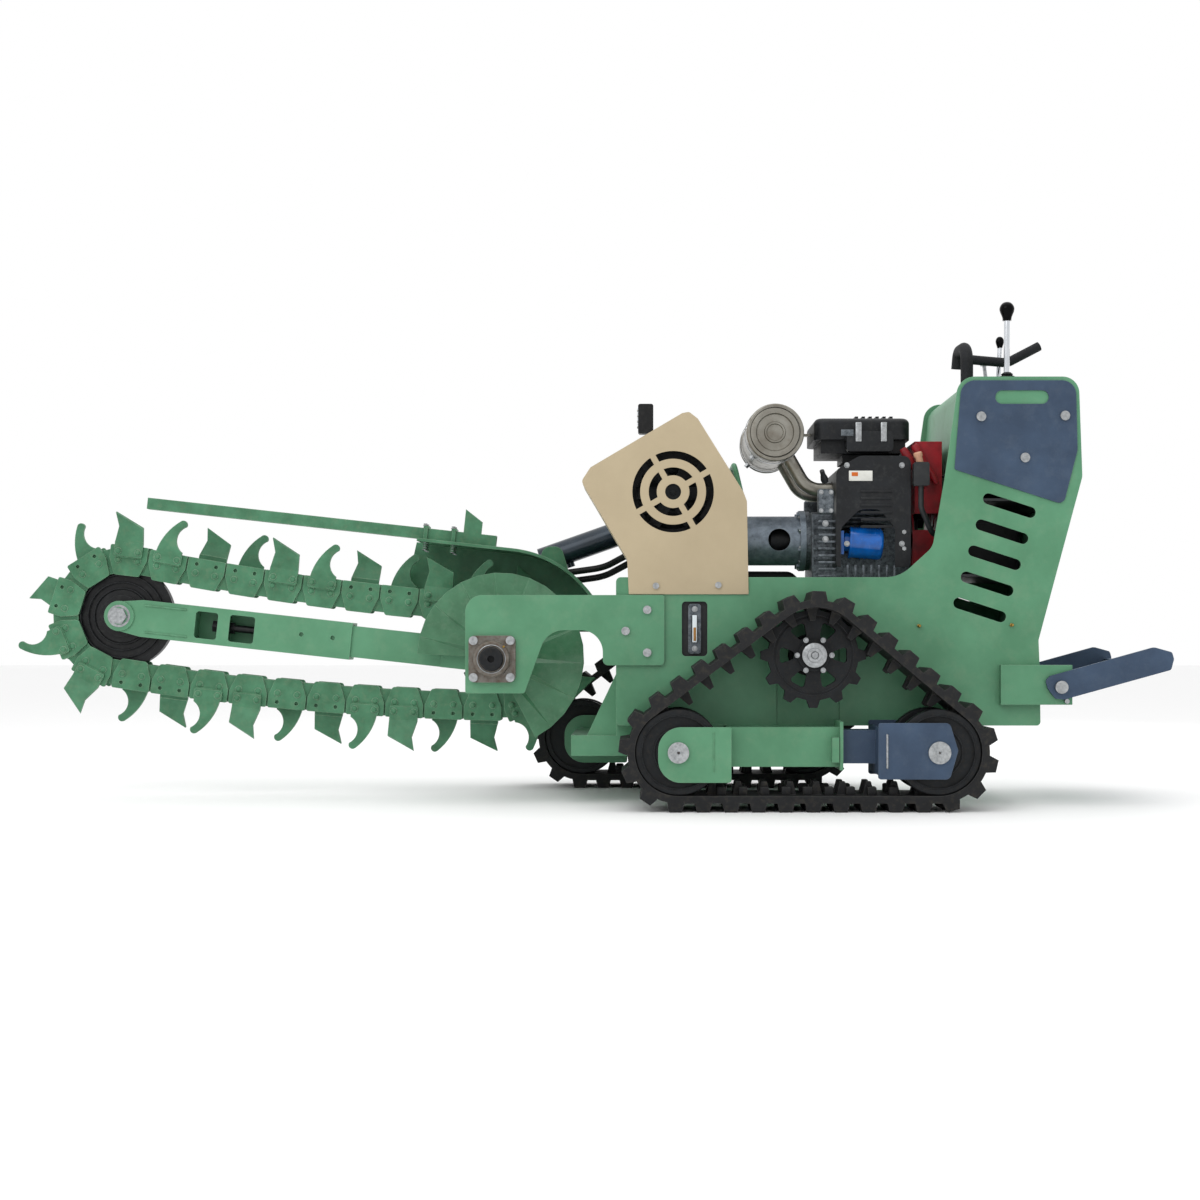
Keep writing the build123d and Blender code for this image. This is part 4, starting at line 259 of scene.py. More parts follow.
    # Extruded nitrile hose cover: matt black with a fine cloth-wrap grain.
    surface("hose_cover", "#101214", "#090a0b", 0.03, 0.0012, 0.00002, (0.45, 0.6), "#57554f", 0.2)
    # Closed-cell foam on the handlebar: dead matt, with small open pores.
    surface("grip_foam", "#1a1c20", "#101215", 0.02, 0.001, 0.00004, (0.6, 0.8), "#68675f", 0.15)
    # Blue-black nitrided cylinder barrel.
    surface("blued_barrel", "#22303c", "#182530", 0.06, 0.002, 0.000006, (0.24, 0.36), "#7a7f7f", 0.12,
            "#63717d", metallic=0.45, coat=0.3)
    # Weld bead metal under enamel; the ripples are in the mesh.
    surface("painted_weld", "#5a8f6d", "#4c7c5c", 0.02, 0.001, 0.00002, (0.3, 0.45), coat=0.2)
    # Bare screw heads in the axle caps, rusted to a dry brown.
    surface("rust_screw", "#7a5136", "#573720", 0.004, 0.0008, 0.00002, (0.6, 0.8), metallic=0.3)
    # Cast acrylic lens and sight glass.
    surface("clear_acrylic", "#dfe7ea", "#d2dce0", 0.05, 0.005, 0.000001, (0.05, 0.1), coat=1.0)
    # Hydraulic oil behind the glass: clear amber.
    surface("amber_oil", "#a8762b", "#8d5f1e", 0.02, 0.004, 0.000001, (0.1, 0.15), coat=0.6)
    # Blank vinyl labels.
    surface("white_vinyl", "#dcdcd6", "#cfcfc8", 0.03, 0.002, 0.000004, (0.3, 0.4), "#8f8c82", 0.15)
    surface("orange_vinyl", "#d2691f", "#c05d1a", 0.03, 0.002, 0.000004, (0.3, 0.4))
    # Moulded nylon of the wiring connector: even and slightly glossy.
    surface("beige_nylon", "#c79a80", "#b78a70", 0.02, 0.001, 0.00001, (0.4, 0.5))
    # Turned brass of grease nipples and the nose nuts, dulled in the turnings.
    surface("brass_fitting", "#b08d4a", "#8e6f38", 0.01, 0.001, 0.000006, (0.25, 0.4), metallic=1.0)
    # Brazed aluminium core of the oil cooler: dark, with fins 3 mm apart.
    core = surface("cooler_core", "#2b2e31", "#1d2022", 0.03, 0.0015, 0.00001, (0.4, 0.5), "#5f5c55", 0.2,
                   metallic=0.6)
    striped(core, "Z", 0.003, 0.0012)


CAD_FINISH = {
    "green_paint": "satin_enamel", "cream_paint": "sand_powder_coat", "slate_paint": "slate_powder_coat",
    "black_paint": "black_enamel", "green_steel": "worn_enamel", "dark_iron": "dark_cast_iron",
    "bare_steel": "zinc_plate", "bearing_iron": "rusting_iron", "chrome": "hard_chrome",
    "muffler_steel": "heat_tinted_steel", "alloy": "die_cast_aluminium",
    "engine_plastic": "black_moulding", "red_plastic": "red_moulding",
    "blue_can": "blue_lacquer", "track_rubber": "track_rubber_grey",
    "hose_rubber": "hose_cover", "tank_plastic": "blow_moulded_tank", "grip_rubber": "grip_foam",
}
NODE_FINISH = {
    "auger": "scoured_enamel", "restraint_bar": "worn_enamel", "chain_guard": "worn_enamel",
    "drive_lever": "chrome_and_knob", "boom_lever": "short_lever_chrome", "lift_barrel": "blued_barrel",
    "oil_cooler": "cooler_core", "coupling_drum": "cast_pump_housing",
}


# ------------------------------------------------------------------ making pieces
def piece(name, mesh, finish, body, angle=35.0):
    """Turns a bmesh into a finished object that rides on a body, or on none yet."""
    bmesh.ops.recalc_face_normals(mesh, faces=mesh.faces)
    data = bpy.data.meshes.new(name)
    mesh.to_mesh(data)
    mesh.free()
    data.shade_smooth()
    data.set_sharp_from_angle(angle=math.radians(angle))
    data.materials.append(FINISHES[finish])
    thing = bpy.data.objects.new(name, data)
    bpy.context.collection.objects.link(thing)
    if body:
        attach(thing, body)
    return thing


def facing(axis, centre):
    """A matrix that stands +Z along axis at a centre."""
    turn = Vector((0, 0, 1)).rotation_difference(Vector(axis)).to_matrix().to_4x4()
    return Matrix.Translation(Vector(centre)) @ turn


def put(mesh, part, place):
    """Moves a finished part into a mesh, at a place, and frees it."""
    data = bpy.data.meshes.new("part")
    part.to_mesh(data)
    part.free()
    data.transform(place)
    mesh.from_mesh(data)
    bpy.data.meshes.remove(data)


def lathe(mesh, profile, centre, axis, steps=32):
    """Adds a body turned from a profile of (radius, height) that starts and ends on the axis or on itself."""
    part = bmesh.new()
    verts = [part.verts.new((r, 0, h)) for r, h in profile]
    edges = [part.edges.new(pair) for pair in zip(verts, verts[1:])]
    bmesh.ops.spin(part, geom=verts + edges, cent=(0, 0, 0), axis=(0, 0, 1), angle=math.tau, steps=steps,
                   use_merge=True)
    bmesh.ops.remove_doubles(part, verts=part.verts, dist=1e-6)
    put(mesh, part, facing(axis, centre))


def dome(mesh, centre, axis, radius, height):
    """A button head with a washer under it."""
    profile = [(0, 0), (radius * 1.25, 0), (radius * 1.25, height * 0.16), (radius, height * 0.2)]
    for a in (0.35, 0.75, 1.1, 1.35):
        profile.append((radius * math.cos(a), height * 0.2 + height * 0.8 * math.sin(a)))
    lathe(mesh, profile + [(0, height)], centre, axis, 14)


def hexagon(mesh, centre, axis, across, height):
    """A chamfered hex head or nut with a washer under it."""
    base = height * 0.2
    washer = across * 0.72
    lathe(mesh, [(0, 0), (washer, 0), (washer, base), (0, base)], centre, axis, 20)
    part = bmesh.new()
    bmesh.ops.create_cone(part, cap_ends=True, segments=6, radius1=across * 0.577, radius2=across * 0.577,
                          depth=height - base, matrix=Matrix.Translation((0, 0, (height + base) / 2)))
    top = [edge for edge in part.edges if all(v.co.z > height - 1e-6 for v in edge.verts)]
    bmesh.ops.bevel(part, geom=top, offset=across * 0.06, affect="EDGES", segments=1, profile=0.5,
                    material=-1)
    put(mesh, part, facing(axis, centre))


def slab(mesh, low, high, round_off=0.002, segments=2):
    """A bevelled block between two corners."""
    size = Vector(high) - Vector(low)
    centre = (Vector(high) + Vector(low)) / 2
    part = bmesh.new()
    bmesh.ops.create_cube(part, size=1.0, matrix=Matrix.Translation(centre) @ Matrix.Diagonal((*size, 1)))
    bmesh.ops.bevel(part, geom=part.edges, offset=min(round_off, min(size) * 0.45), affect="EDGES",
                    segments=segments, profile=0.5, material=-1)
    put(mesh, part, Matrix.Identity(4))


def weld(mesh, start, end, radius):
    """A run of overlapping ripples, each a small ball, laid from start to end."""
    start, end = Vector(start), Vector(end)
    steps = max(2, int((end - start).length / (radius * 0.75)))
    for n in range(steps + 1):
        bmesh.ops.create_icosphere(mesh, subdivisions=1, radius=radius,
                                   matrix=facing(end - start, start.lerp(end, n / steps)))


def ring(mesh, centre, axis, radius, wire, steps=40, sides=8):
    """A round wire bent into a full circle."""
    profile = [(radius + wire * math.cos(math.tau * k / sides), wire * math.sin(math.tau * k / sides))
               for k in range(sides + 1)]
    lathe(mesh, profile, centre, axis, steps)


def coil(name, start, end, radius, wire, turns, finish, body):
    """A compression spring between two points."""
    start, end = Vector(start), Vector(end)
    place = facing(end - start, start)
    mesh = bmesh.new()
    verts = [mesh.verts.new((radius + wire * math.cos(math.tau * k / 6), 0,
                             wire * math.sin(math.tau * k / 6))) for k in range(6)]
    edges = [mesh.edges.new((verts[k], verts[(k + 1) % 6])) for k in range(6)]
    steps = int(turns * 14)
    bmesh.ops.spin(mesh, geom=verts + edges, cent=(0, 0, 0), axis=(0, 0, 1), angle=math.tau * turns,
                   steps=steps, dvec=(0, 0, (end - start).length / steps))
    bmesh.ops.holes_fill(mesh, edges=[e for e in mesh.edges if len(e.link_faces) == 1])
    bmesh.ops.transform(mesh, matrix=place, verts=mesh.verts)
    piece(name, mesh, finish, body)


def solids(node):
    """The separate solids of a CAD node, each as a list of its corners."""
    mesh = bmesh.new()
    mesh.from_mesh(NODES[node].data)
    bmesh.ops.remove_doubles(mesh, verts=mesh.verts, dist=1e-6)
    waiting, found = set(mesh.verts), []
    while waiting:
        stack, group = [waiting.pop()], []
        while stack:
            vert = stack.pop()
            group.append(vert.co.copy())
            for edge in vert.link_edges:
                other = edge.other_vert(vert)
                if other in waiting:
                    waiting.remove(other)
                    stack.append(other)
        found.append(group)
    mesh.free()
    return sorted(found, key=lambda group: tuple(round(c, 5) for c in min(group, key=tuple)))


def extent(points):
    """Lowest and highest corner of a list of points."""
    low = Vector([min(p[i] for p in points) for i in range(3)])
    high = Vector([max(p[i] for p in points) for i in range(3)])
    return low, high


def middle(node):
    """Centre of a CAD node's box."""
    low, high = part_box(node)
    return (Vector(low) + Vector(high)) / 2


# ------------------------------------------------------------------ settings
class TrencherLook(bpy.types.PropertyGroup):
    """Sizes and colours of the finishes and small hardware."""

    knob_height: FloatProperty(name="Knob height",
                               description="Height where a lever's stem turns into its knob",
                               default=1.229, unit="LENGTH")
    rivet_radius: FloatProperty(name="Chain rivet radius",
                                description="Radius of the chain's button heads", default=0.0078,
                                unit="LENGTH")
    bead: FloatProperty(name="Weld bead", description="Radius of a weld bead", default=0.0034,
                        unit="LENGTH")
    lug_count: IntProperty(name="Belt lugs", description="Drive lugs on each belt's lower run", default=9,
                           min=2)
    floor_colour: FloatVectorProperty(name="Floor", description="Colour of the studio floor",
                                      subtype="COLOR", size=4, default=(0.93, 0.93, 0.93, 1.0), min=0.0,
                                      max=1.0)
    key_power: FloatProperty(name="Key light", description="Power of the large soft key light in watts",
                             default=45.0)


class Step(bpy.types.Operator):
    """Makes one group of pieces."""

    bl_options = {"REGISTER", "UNDO"}
    bl_idname = "trencher.step"
    bl_label = "Step"

    @property
    def look(self):
        return bpy.context.scene.trencher_look


class TRENCHER_OT_stage(Step):
    """Floor, soft lights and the side-on camera."""

    bl_idname = "trencher.stage"
    bl_label = "Studio"

    def execute(self, context):
        scene = context.scene
        mesh = bmesh.new()
        bmesh.ops.create_grid(mesh, x_segments=2, y_segments=2, size=30.0)
        data = bpy.data.meshes.new("floor")
        mesh.to_mesh(data)
        mesh.free()
        paper = bpy.data.materials.new("studio_paper")
        paper.use_nodes = True
        shader = paper.node_tree.nodes["Principled BSDF"]
        where = add(paper.node_tree, "ShaderNodeTexCoord").outputs["Object"]
        fibre = add(paper.node_tree, "ShaderNodeTexNoise", values={"Scale": 60.0, "Detail": 4.0},
                    links={"Vector": where})
        relief = add(paper.node_tree, "ShaderNodeBump", values={"Strength": 0.05},
                     links={"Height": fibre.outputs["Fac"]})
        paper.node_tree.links.new(relief.outputs["Normal"], shader.inputs["Normal"])
        shader.inputs["Base Color"].default_value = self.look.floor_colour
        shader.inputs["Roughness"].default_value = 0.9
        data.materials.append(paper)
        floor = bpy.data.objects.new("floor", data)
        scene.collection.objects.link(floor)
        world = bpy.data.worlds.new("soft_room")
        world.use_nodes = True
        world.node_tree.nodes["Background"].inputs["Color"].default_value = (1.0, 1.0, 1.0, 1.0)
        world.node_tree.nodes["Background"].inputs["Strength"].default_value = 1.0
        scene.world = world
        for name, spot, size, power in (("key", (-1.6, -3.4, 3.4), 3.0, self.look.key_power),
                                        ("top", (0.6, 0.0, 4.0), 3.5, self.look.key_power * 0.8),
                                        ("back", (2.6, 3.2, 2.6), 2.5, self.look.key_power * 0.45)):
            light = bpy.data.lights.new(name, "AREA")
            light.energy = power
            light.size = size
            lamp = bpy.data.objects.new(name, light)
            lamp.location = spot
            aim = Vector((0.0, 0.0, 0.4)) - Vector(spot)
            lamp.rotation_euler = aim.to_track_quat("-Z", "Y").to_euler()
            scene.collection.objects.link(lamp)
        lens = bpy.data.cameras.new("camera")
        lens.lens = 53.0
        lens.sensor_width = 36.0
        lens.shift_x = -0.0333
        lens.shift_y = 0.0375
        lens.clip_end = 100.0
        camera = bpy.data.objects.new("camera", lens)
        # square to the near side, and low
        camera.location = (0.17286, -4.69, 0.402)
        camera.rotation_euler = (math.radians(90), 0, 0)
        scene.collection.objects.link(camera)
        scene.camera = camera
        scene.view_settings.view_transform = "Standard"
        return {"FINISHED"}


class TRENCHER_OT_finishes(Step):
    """Paints, metals, rubbers and plastics on every CAD node."""

    bl_idname = "trencher.finishes"
    bl_label = "Finishes"

    def execute(self, context):
        make_finishes(self.look)
        for node, thing in NODES.items():
            finish = FINISHES[NODE_FINISH.get(node, CAD_FINISH[SLOTS[node]])]
            for slot in thing.material_slots:
                slot.material = finish
        return {"FINISHED"}


class TRENCHER_OT_chain(Step):
    """Rivet heads on the pins, and dome bolts where a cutter is bolted on."""

    bl_idname = "trencher.chain"
    bl_label = "Chain hardware"

    def execute(self, context):
        outer_width = 0.05                      # a wider link than this is an outer one
        link_gap = 0.002                        # between the ends of neighbouring outer links
        bolt_rise, cutter_plate = 0.024, 0.008  # a cutter's bolts above the link, and its thickness
        seam_half, seam_rise = 0.034, 0.009     # a cutter's weld: half its length, and its height
        head, nose = (Vector(JOINTS[name]["pos_m"]) for name in ("headshaft_spin", "nose_roller_spin"))
        teeth = []
        for node in ("hook_cutters", "wing_cutters"):
            teeth += [(group, *extent(group)) for group in solids(node)]
        links = [(group, *extent(group)) for group in solids("digging_chain")]
        outer = [link for link in links if link[2].y - link[1].y > outer_width]
        inner = [(link[1] + link[2]) / 2 for link in links if link[2].y - link[1].y < outer_width]
        rivets, bolts, seams = bmesh.new(), bmesh.new(), bmesh.new()
        for corners, low, high in outer:
            centre = (low + high) / 2
            first, second = sorted(inner, key=lambda other: (other - centre).length)[:2]
            # the tilt at which the link measures least across is the link's own
            best = None
            for n in range(-16, 17):
                tilt = math.atan2((second - first).z, (second - first).x) + math.radians(n * 0.5)
                along = Vector((math.cos(tilt), 0, math.sin(tilt)))
                across = Vector((-along.z, 0, along.x))
                heights = [p.dot(across) for p in corners]
                if best is None or max(heights) - min(heights) < best[0]:
                    lengths = [p.dot(along) for p in corners]
                    spot = along * (max(lengths) + min(lengths)) / 2
                    spot = spot + across * (max(heights) + min(heights)) / 2
                    best = (max(heights) - min(heights), along, across, spot, max(lengths) - min(lengths))
            _, along, across, spot, length = best
            t = max(0.0, min(1.0, (spot - head).dot(nose - head) / (nose - head).length_squared))
            if across.dot(spot - (head + (nose - head) * t)) < 0:
                across = -across
            half_pitch = (length / 2 + link_gap) / 2
            for face in (-1, 1):
                plate = low.y if face < 0 else high.y
                bolted = [tooth for tooth in teeth
                          if (tooth[1].y + tooth[2].y) / 2 * face > plate * face
                          and any(abs((p - spot).dot(along)) < 0.04 and 0.005 < (p - spot).dot(across) < 0.03
                                  for p in tooth[0])]
                for u in (-half_pitch, half_pitch):
                    place = spot + along * u
                    place.y = plate
                    dome(rivets, place, (0, face, 0), self.look.rivet_radius, 0.0055)
                    if bolted:
                        place = spot + along * u + across * bolt_rise
                        place.y = plate + face * cutter_plate
                        dome(bolts, place, (0, face, 0), self.look.rivet_radius, 0.0065)
                if bolted:
                    ends = [spot + along * u + across * seam_rise for u in (-seam_half, seam_half)]
                    for end in ends:
                        end.y = plate + face * 0.0015
                    weld(seams, ends[0], ends[1], self.look.bead * 0.7)
        piece("chain_rivet_heads", rivets, "worn_enamel", "boom")
        piece("cutter_bolt_heads", bolts, "worn_enamel", "boom")
        piece("cutter_weld_seams", seams, "painted_weld", "boom")
        return {"FINISHED"}


class TRENCHER_OT_boom(Step):
    """Nose pin caps and nuts, roller rings, the restraint bar's springs and nuts, and boom welds."""

    bl_idname = "trencher.boom"
    bl_label = "Boom hardware"

    def execute(self, context):
        nose = Vector(JOINTS["nose_roller_spin"]["pos_m"])
        low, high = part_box("boom_outer_channel")
        # nose: caps and nuts on the axle, then rings pressed into the roller
        caps, pins, rings = bmesh.new(), bmesh.new(), bmesh.new()
        for face, y in ((-1, low[1]), (1, high[1])):
            spot = (nose.x, y, nose.z)
            lathe(caps, [(0.013, 0.0), (0.040, 0.0), (0.041, 0.002), (0.040, 0.005), (0.024, 0.0055),
                         (0.022, 0.008), (0.013, 0.008), (0.013, 0.0)], spot, (0, face, 0), 40)
            hexagon(pins, (nose.x, y + face * 0.008, nose.z), (0, face, 0), 0.020, 0.009)
        piece("nose_pin_caps", caps, "satin_enamel", "boom")
        piece("nose_pin_nuts", pins, "brass_fitting", "boom")
        low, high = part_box("nose_roller")
        for face, y in ((-1, low[1] + 0.017), (1, high[1] - 0.017)):
            for radius in (0.075, 0.092, 0.112):
                ring(rings, (nose.x, y, nose.z), (0, face, 0), radius, 0.0022, 56, 6)
        piece("nose_roller_rings", rings, "black_enamel", "nose_wheel")
        # welds beside the fork of the outer boom
        beads = bmesh.new()
        slope = math.radians(BOOM_SLOPE)
        direction = Vector((math.cos(slope), 0, math.sin(slope)))
        low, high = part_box("boom_outer_channel")
        for y in (low[1] - 0.0005, high[1] + 0.0005):
            for offset in (-0.036, 0.036):
                start = nose + direction * 0.07 + Vector((0, 0, offset))
                start.y = y
                weld(beads, start, start + direction * 0.11, self.look.bead)
        piece("boom_weld_beads", beads, "painted_weld", "boom")
        bar_low, bar_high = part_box("restraint_bar")
        # restraint bar: clamp nuts and springs
        nuts = bmesh.new()
        for n, x in enumerate(CLAMP_X):
            z = CLAMP_Z - CLAMP_DROP * n
            for y in (bar_low[1] + 0.005, bar_high[1] - 0.005):
                hexagon(nuts, (x, y, z + 0.022), (0, 0, 1), 0.010, 0.006)
                coil("bar_spring_%d_%d" % (n, round(y * 1000)), (x - 0.003, y, z - 0.064 + 0.018),
                     (x, y, z - 0.016), 0.0055, 0.0011, 5, "zinc_plate", "boom")
        piece("bar_clamp_nuts", nuts, "zinc_plate", "boom")
        return {"FINISHED"}


class TRENCHER_OT_undercarriage(Step):
    """Belt drive lugs, idler rings, axle screws, sprocket hub bolts and frame welds."""

    bl_idname = "trencher.undercarriage"
    bl_label = "Undercarriage hardware"

    def execute(self, context):
        for side, name in ((-1, "near"), (1, "far")):
            front, rear = middle("front_idler_" + name), middle("rear_idler_" + name)
            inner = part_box("front_idler_" + name)[0][2]
            lugs = bmesh.new()
            count = self.look.lug_count
            for n in range(count):
                x = front.x + 0.105 + (rear.x - front.x - 0.21) * n / (count - 1)
                for y in (-0.052, 0.052):
                    slab(lugs, (x - 0.011, front.y + y - 0.012, inner - 0.002),
                         (x + 0.011, front.y + y + 0.012, inner + 0.020), 0.004)
            piece("belt_drive_lugs_" + name, lugs, "track_rubber_grey", "root")
            for where in ("front", "rear"):
                node = "%s_idler_%s" % (where, name)
                low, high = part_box(node)
                spot = middle(node)
                body = "wheel_%s_%s" % (where, name)
                rims = bmesh.new()
                face = low[1] if side < 0 else high[1]
                for radius in (0.058, 0.088):
                    ring(rims, (spot.x, face, spot.z), (0, side, 0), radius, 0.0016, 48, 6)
                piece("idler_rings_%s_%s" % (where, name), rims, "dark_cast_iron", body)
            sprocket = middle("track_sprocket_" + name)
            low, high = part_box("track_sprocket_" + name)
            face = low[1] if side < 0 else high[1]
            bolts = bmesh.new()
            lathe(bolts, [(0.010, 0.0), (0.030, 0.0), (0.030, 0.002), (0.026, 0.004), (0.018, 0.0045),
                          (0.017, 0.009), (0.010, 0.009), (0.010, 0.0)], (sprocket.x, face, sprocket.z),
                  (0, side, 0), 36)
            hexagon(bolts, (sprocket.x, face, sprocket.z), (0, side, 0), 0.016, 0.013)
            for n in range(6):
                a = math.tau * n / 6
                hexagon(bolts, (sprocket.x + 0.042 * math.cos(a), face - side * 0.001,
                                sprocket.z + 0.042 * math.sin(a)), (0, side, 0), 0.009, 0.005)
            piece("sprocket_bolts_" + name, bolts, "zinc_plate", "sprocket_" + name)
        screws, beads = bmesh.new(), bmesh.new()
        for group in solids("idler_axles"):
            low, high = extent(group)
            side = -1 if low.y < 0 else 1
            face = low.y if side < 0 else high.y
            spot = (low + high) / 2
            ring(screws, (spot.x, face - side * 0.0010, spot.z), (0, side, 0), 0.0105, 0.0009, 24, 6)
            slab(screws, (spot.x - 0.004, min(face, face - side * 0.002), spot.z - 0.004),
                 (spot.x + 0.004, max(face, face - side * 0.002), spot.z + 0.004), 0.001)
        piece("axle_cap_screws", screws, "rust_screw", "root")
        forks = bmesh.new()
        for side, start in ((-1, "near"), (1, "far")):
            x = middle("rear_idler_" + start).x - 0.125
            face = side * FORK_FACE
            weld(forks, (x, face, 0.108), (x, face, 0.186), self.look.bead)
            x = middle("front_idler_" + start).x + 0.085
            weld(beads, (x, side * BEAM_FACE, 0.10), (x, side * BEAM_FACE, 0.19), self.look.bead)
        piece("track_frame_weld_beads", beads, "painted_weld", "root")
        piece("fork_weld_beads", forks, "zinc_plate", "root")
        return {"FINISHED"}


class TRENCHER_OT_chassis(Step):
    """Bearing fittings, gauge glass, lamp lens, fan ring and chassis welds."""

    bl_idname = "trencher.chassis"
    bl_label = "Chassis hardware"

    def execute(self, context):
        # bearing rings and grease nipples
        races, nipples = bmesh.new(), bmesh.new()
        for group in solids("headshaft_bearings"):
            low, high = extent(group)
            side = -1 if low.y < 0 else 1
            face = low.y if side < 0 else high.y
            spot = (low + high) / 2
            ring(races, (spot.x, face, spot.z), (0, side, 0), 0.0345, 0.0018, 44, 8)
            lathe(nipples, [(0, 0), (0.004, 0), (0.004, 0.004), (0.002, 0.005), (0.002, 0.008),
                            (0.0032, 0.0095), (0.002, 0.012), (0, 0.012)],
                  (spot.x + 0.027, face + side * -0.006, spot.z + 0.027), (0.5, side, 0.5), 12)
        piece("bearing_rings", races, "zinc_plate", "root")
        piece("grease_nipples", nipples, "brass_fitting", "root")
        low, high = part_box("oil_level_gauge")
        x, y = (low[0] + high[0]) / 2, low[1]
        # oil level gauge
        glass, oil, screws = bmesh.new(), bmesh.new(), bmesh.new()
        slab(glass, (x - 0.006, y - 0.0015, low[2] + 0.028), (x + 0.006, y + 0.003, high[2] - 0.028),
             0.0025, 3)
        slab(oil, (x - 0.0035, y - 0.0022, low[2] + 0.032), (x + 0.0035, y, low[2] + 0.066), 0.001)
        for z in (low[2] + 0.013, high[2] - 0.013):
            hexagon(screws, (x, y, z), (0, -1, 0), 0.010, 0.005)
        piece("gauge_glass", glass, "clear_acrylic", "root")
        piece("gauge_oil", oil, "amber_oil", "root")
        piece("gauge_bolts", screws, "zinc_plate", "root")
        low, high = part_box("work_lamp")
        # work lamp
        lens, bezel = bmesh.new(), bmesh.new()
        slab(lens, (low[0] - 0.0005, low[1] + 0.005, high[2] - 0.062), (low[0] + 0.002, high[1] - 0.005,
             high[2] - 0.008), 0.0008)
        for n in range(4):
            z = high[2] - 0.057 + n * 0.0145
            lathe(bezel, [(0, 0.0005), (0.003, 0.0005), (0.0055, 0.0022), (0.0065, 0.0022), (0.0065, 0)],
                  (low[0] - 0.0003, (low[1] + high[1]) / 2, z), (-1, 0, 0), 16)
        piece("lamp_lens", lens, "clear_acrylic", "root")
        piece("lamp_reflectors", bezel, "hard_chrome", "root")
        beads = bmesh.new()
        low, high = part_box("tower_shell")
        for y in (low[1] + 0.002, high[1] - 0.002):
            weld(beads, (high[0] - 0.02, y, high[2] - 0.22), (high[0] - 0.02, y, high[2] - 0.10),
                 self.look.bead)
        fan = middle("cooler_fan")
        shroud = bmesh.new()
        lathe(shroud, [(0.090, 0.0), (0.116, 0.0), (0.116, 0.004), (0.100, 0.004), (0.098, 0.030),
                       (0.090, 0.030), (0.090, 0.0)], (fan.x, COOLER_COVER_INSIDE, fan.z), (0, 1, 0), 56)
        piece("fan_shroud", shroud, "black_moulding", "root")
        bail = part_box("lifting_bail")
        for y in (bail[0][1] + 0.010, bail[1][1] - 0.010):
            ring(beads, ((bail[0][0] + bail[1][0]) / 2, y, BAIL_WELD_Z), (0, 0, 1), 0.013, 0.003, 24, 6)
        piece("chassis_weld_beads", beads, "painted_weld", "root")
        return {"FINISHED"}


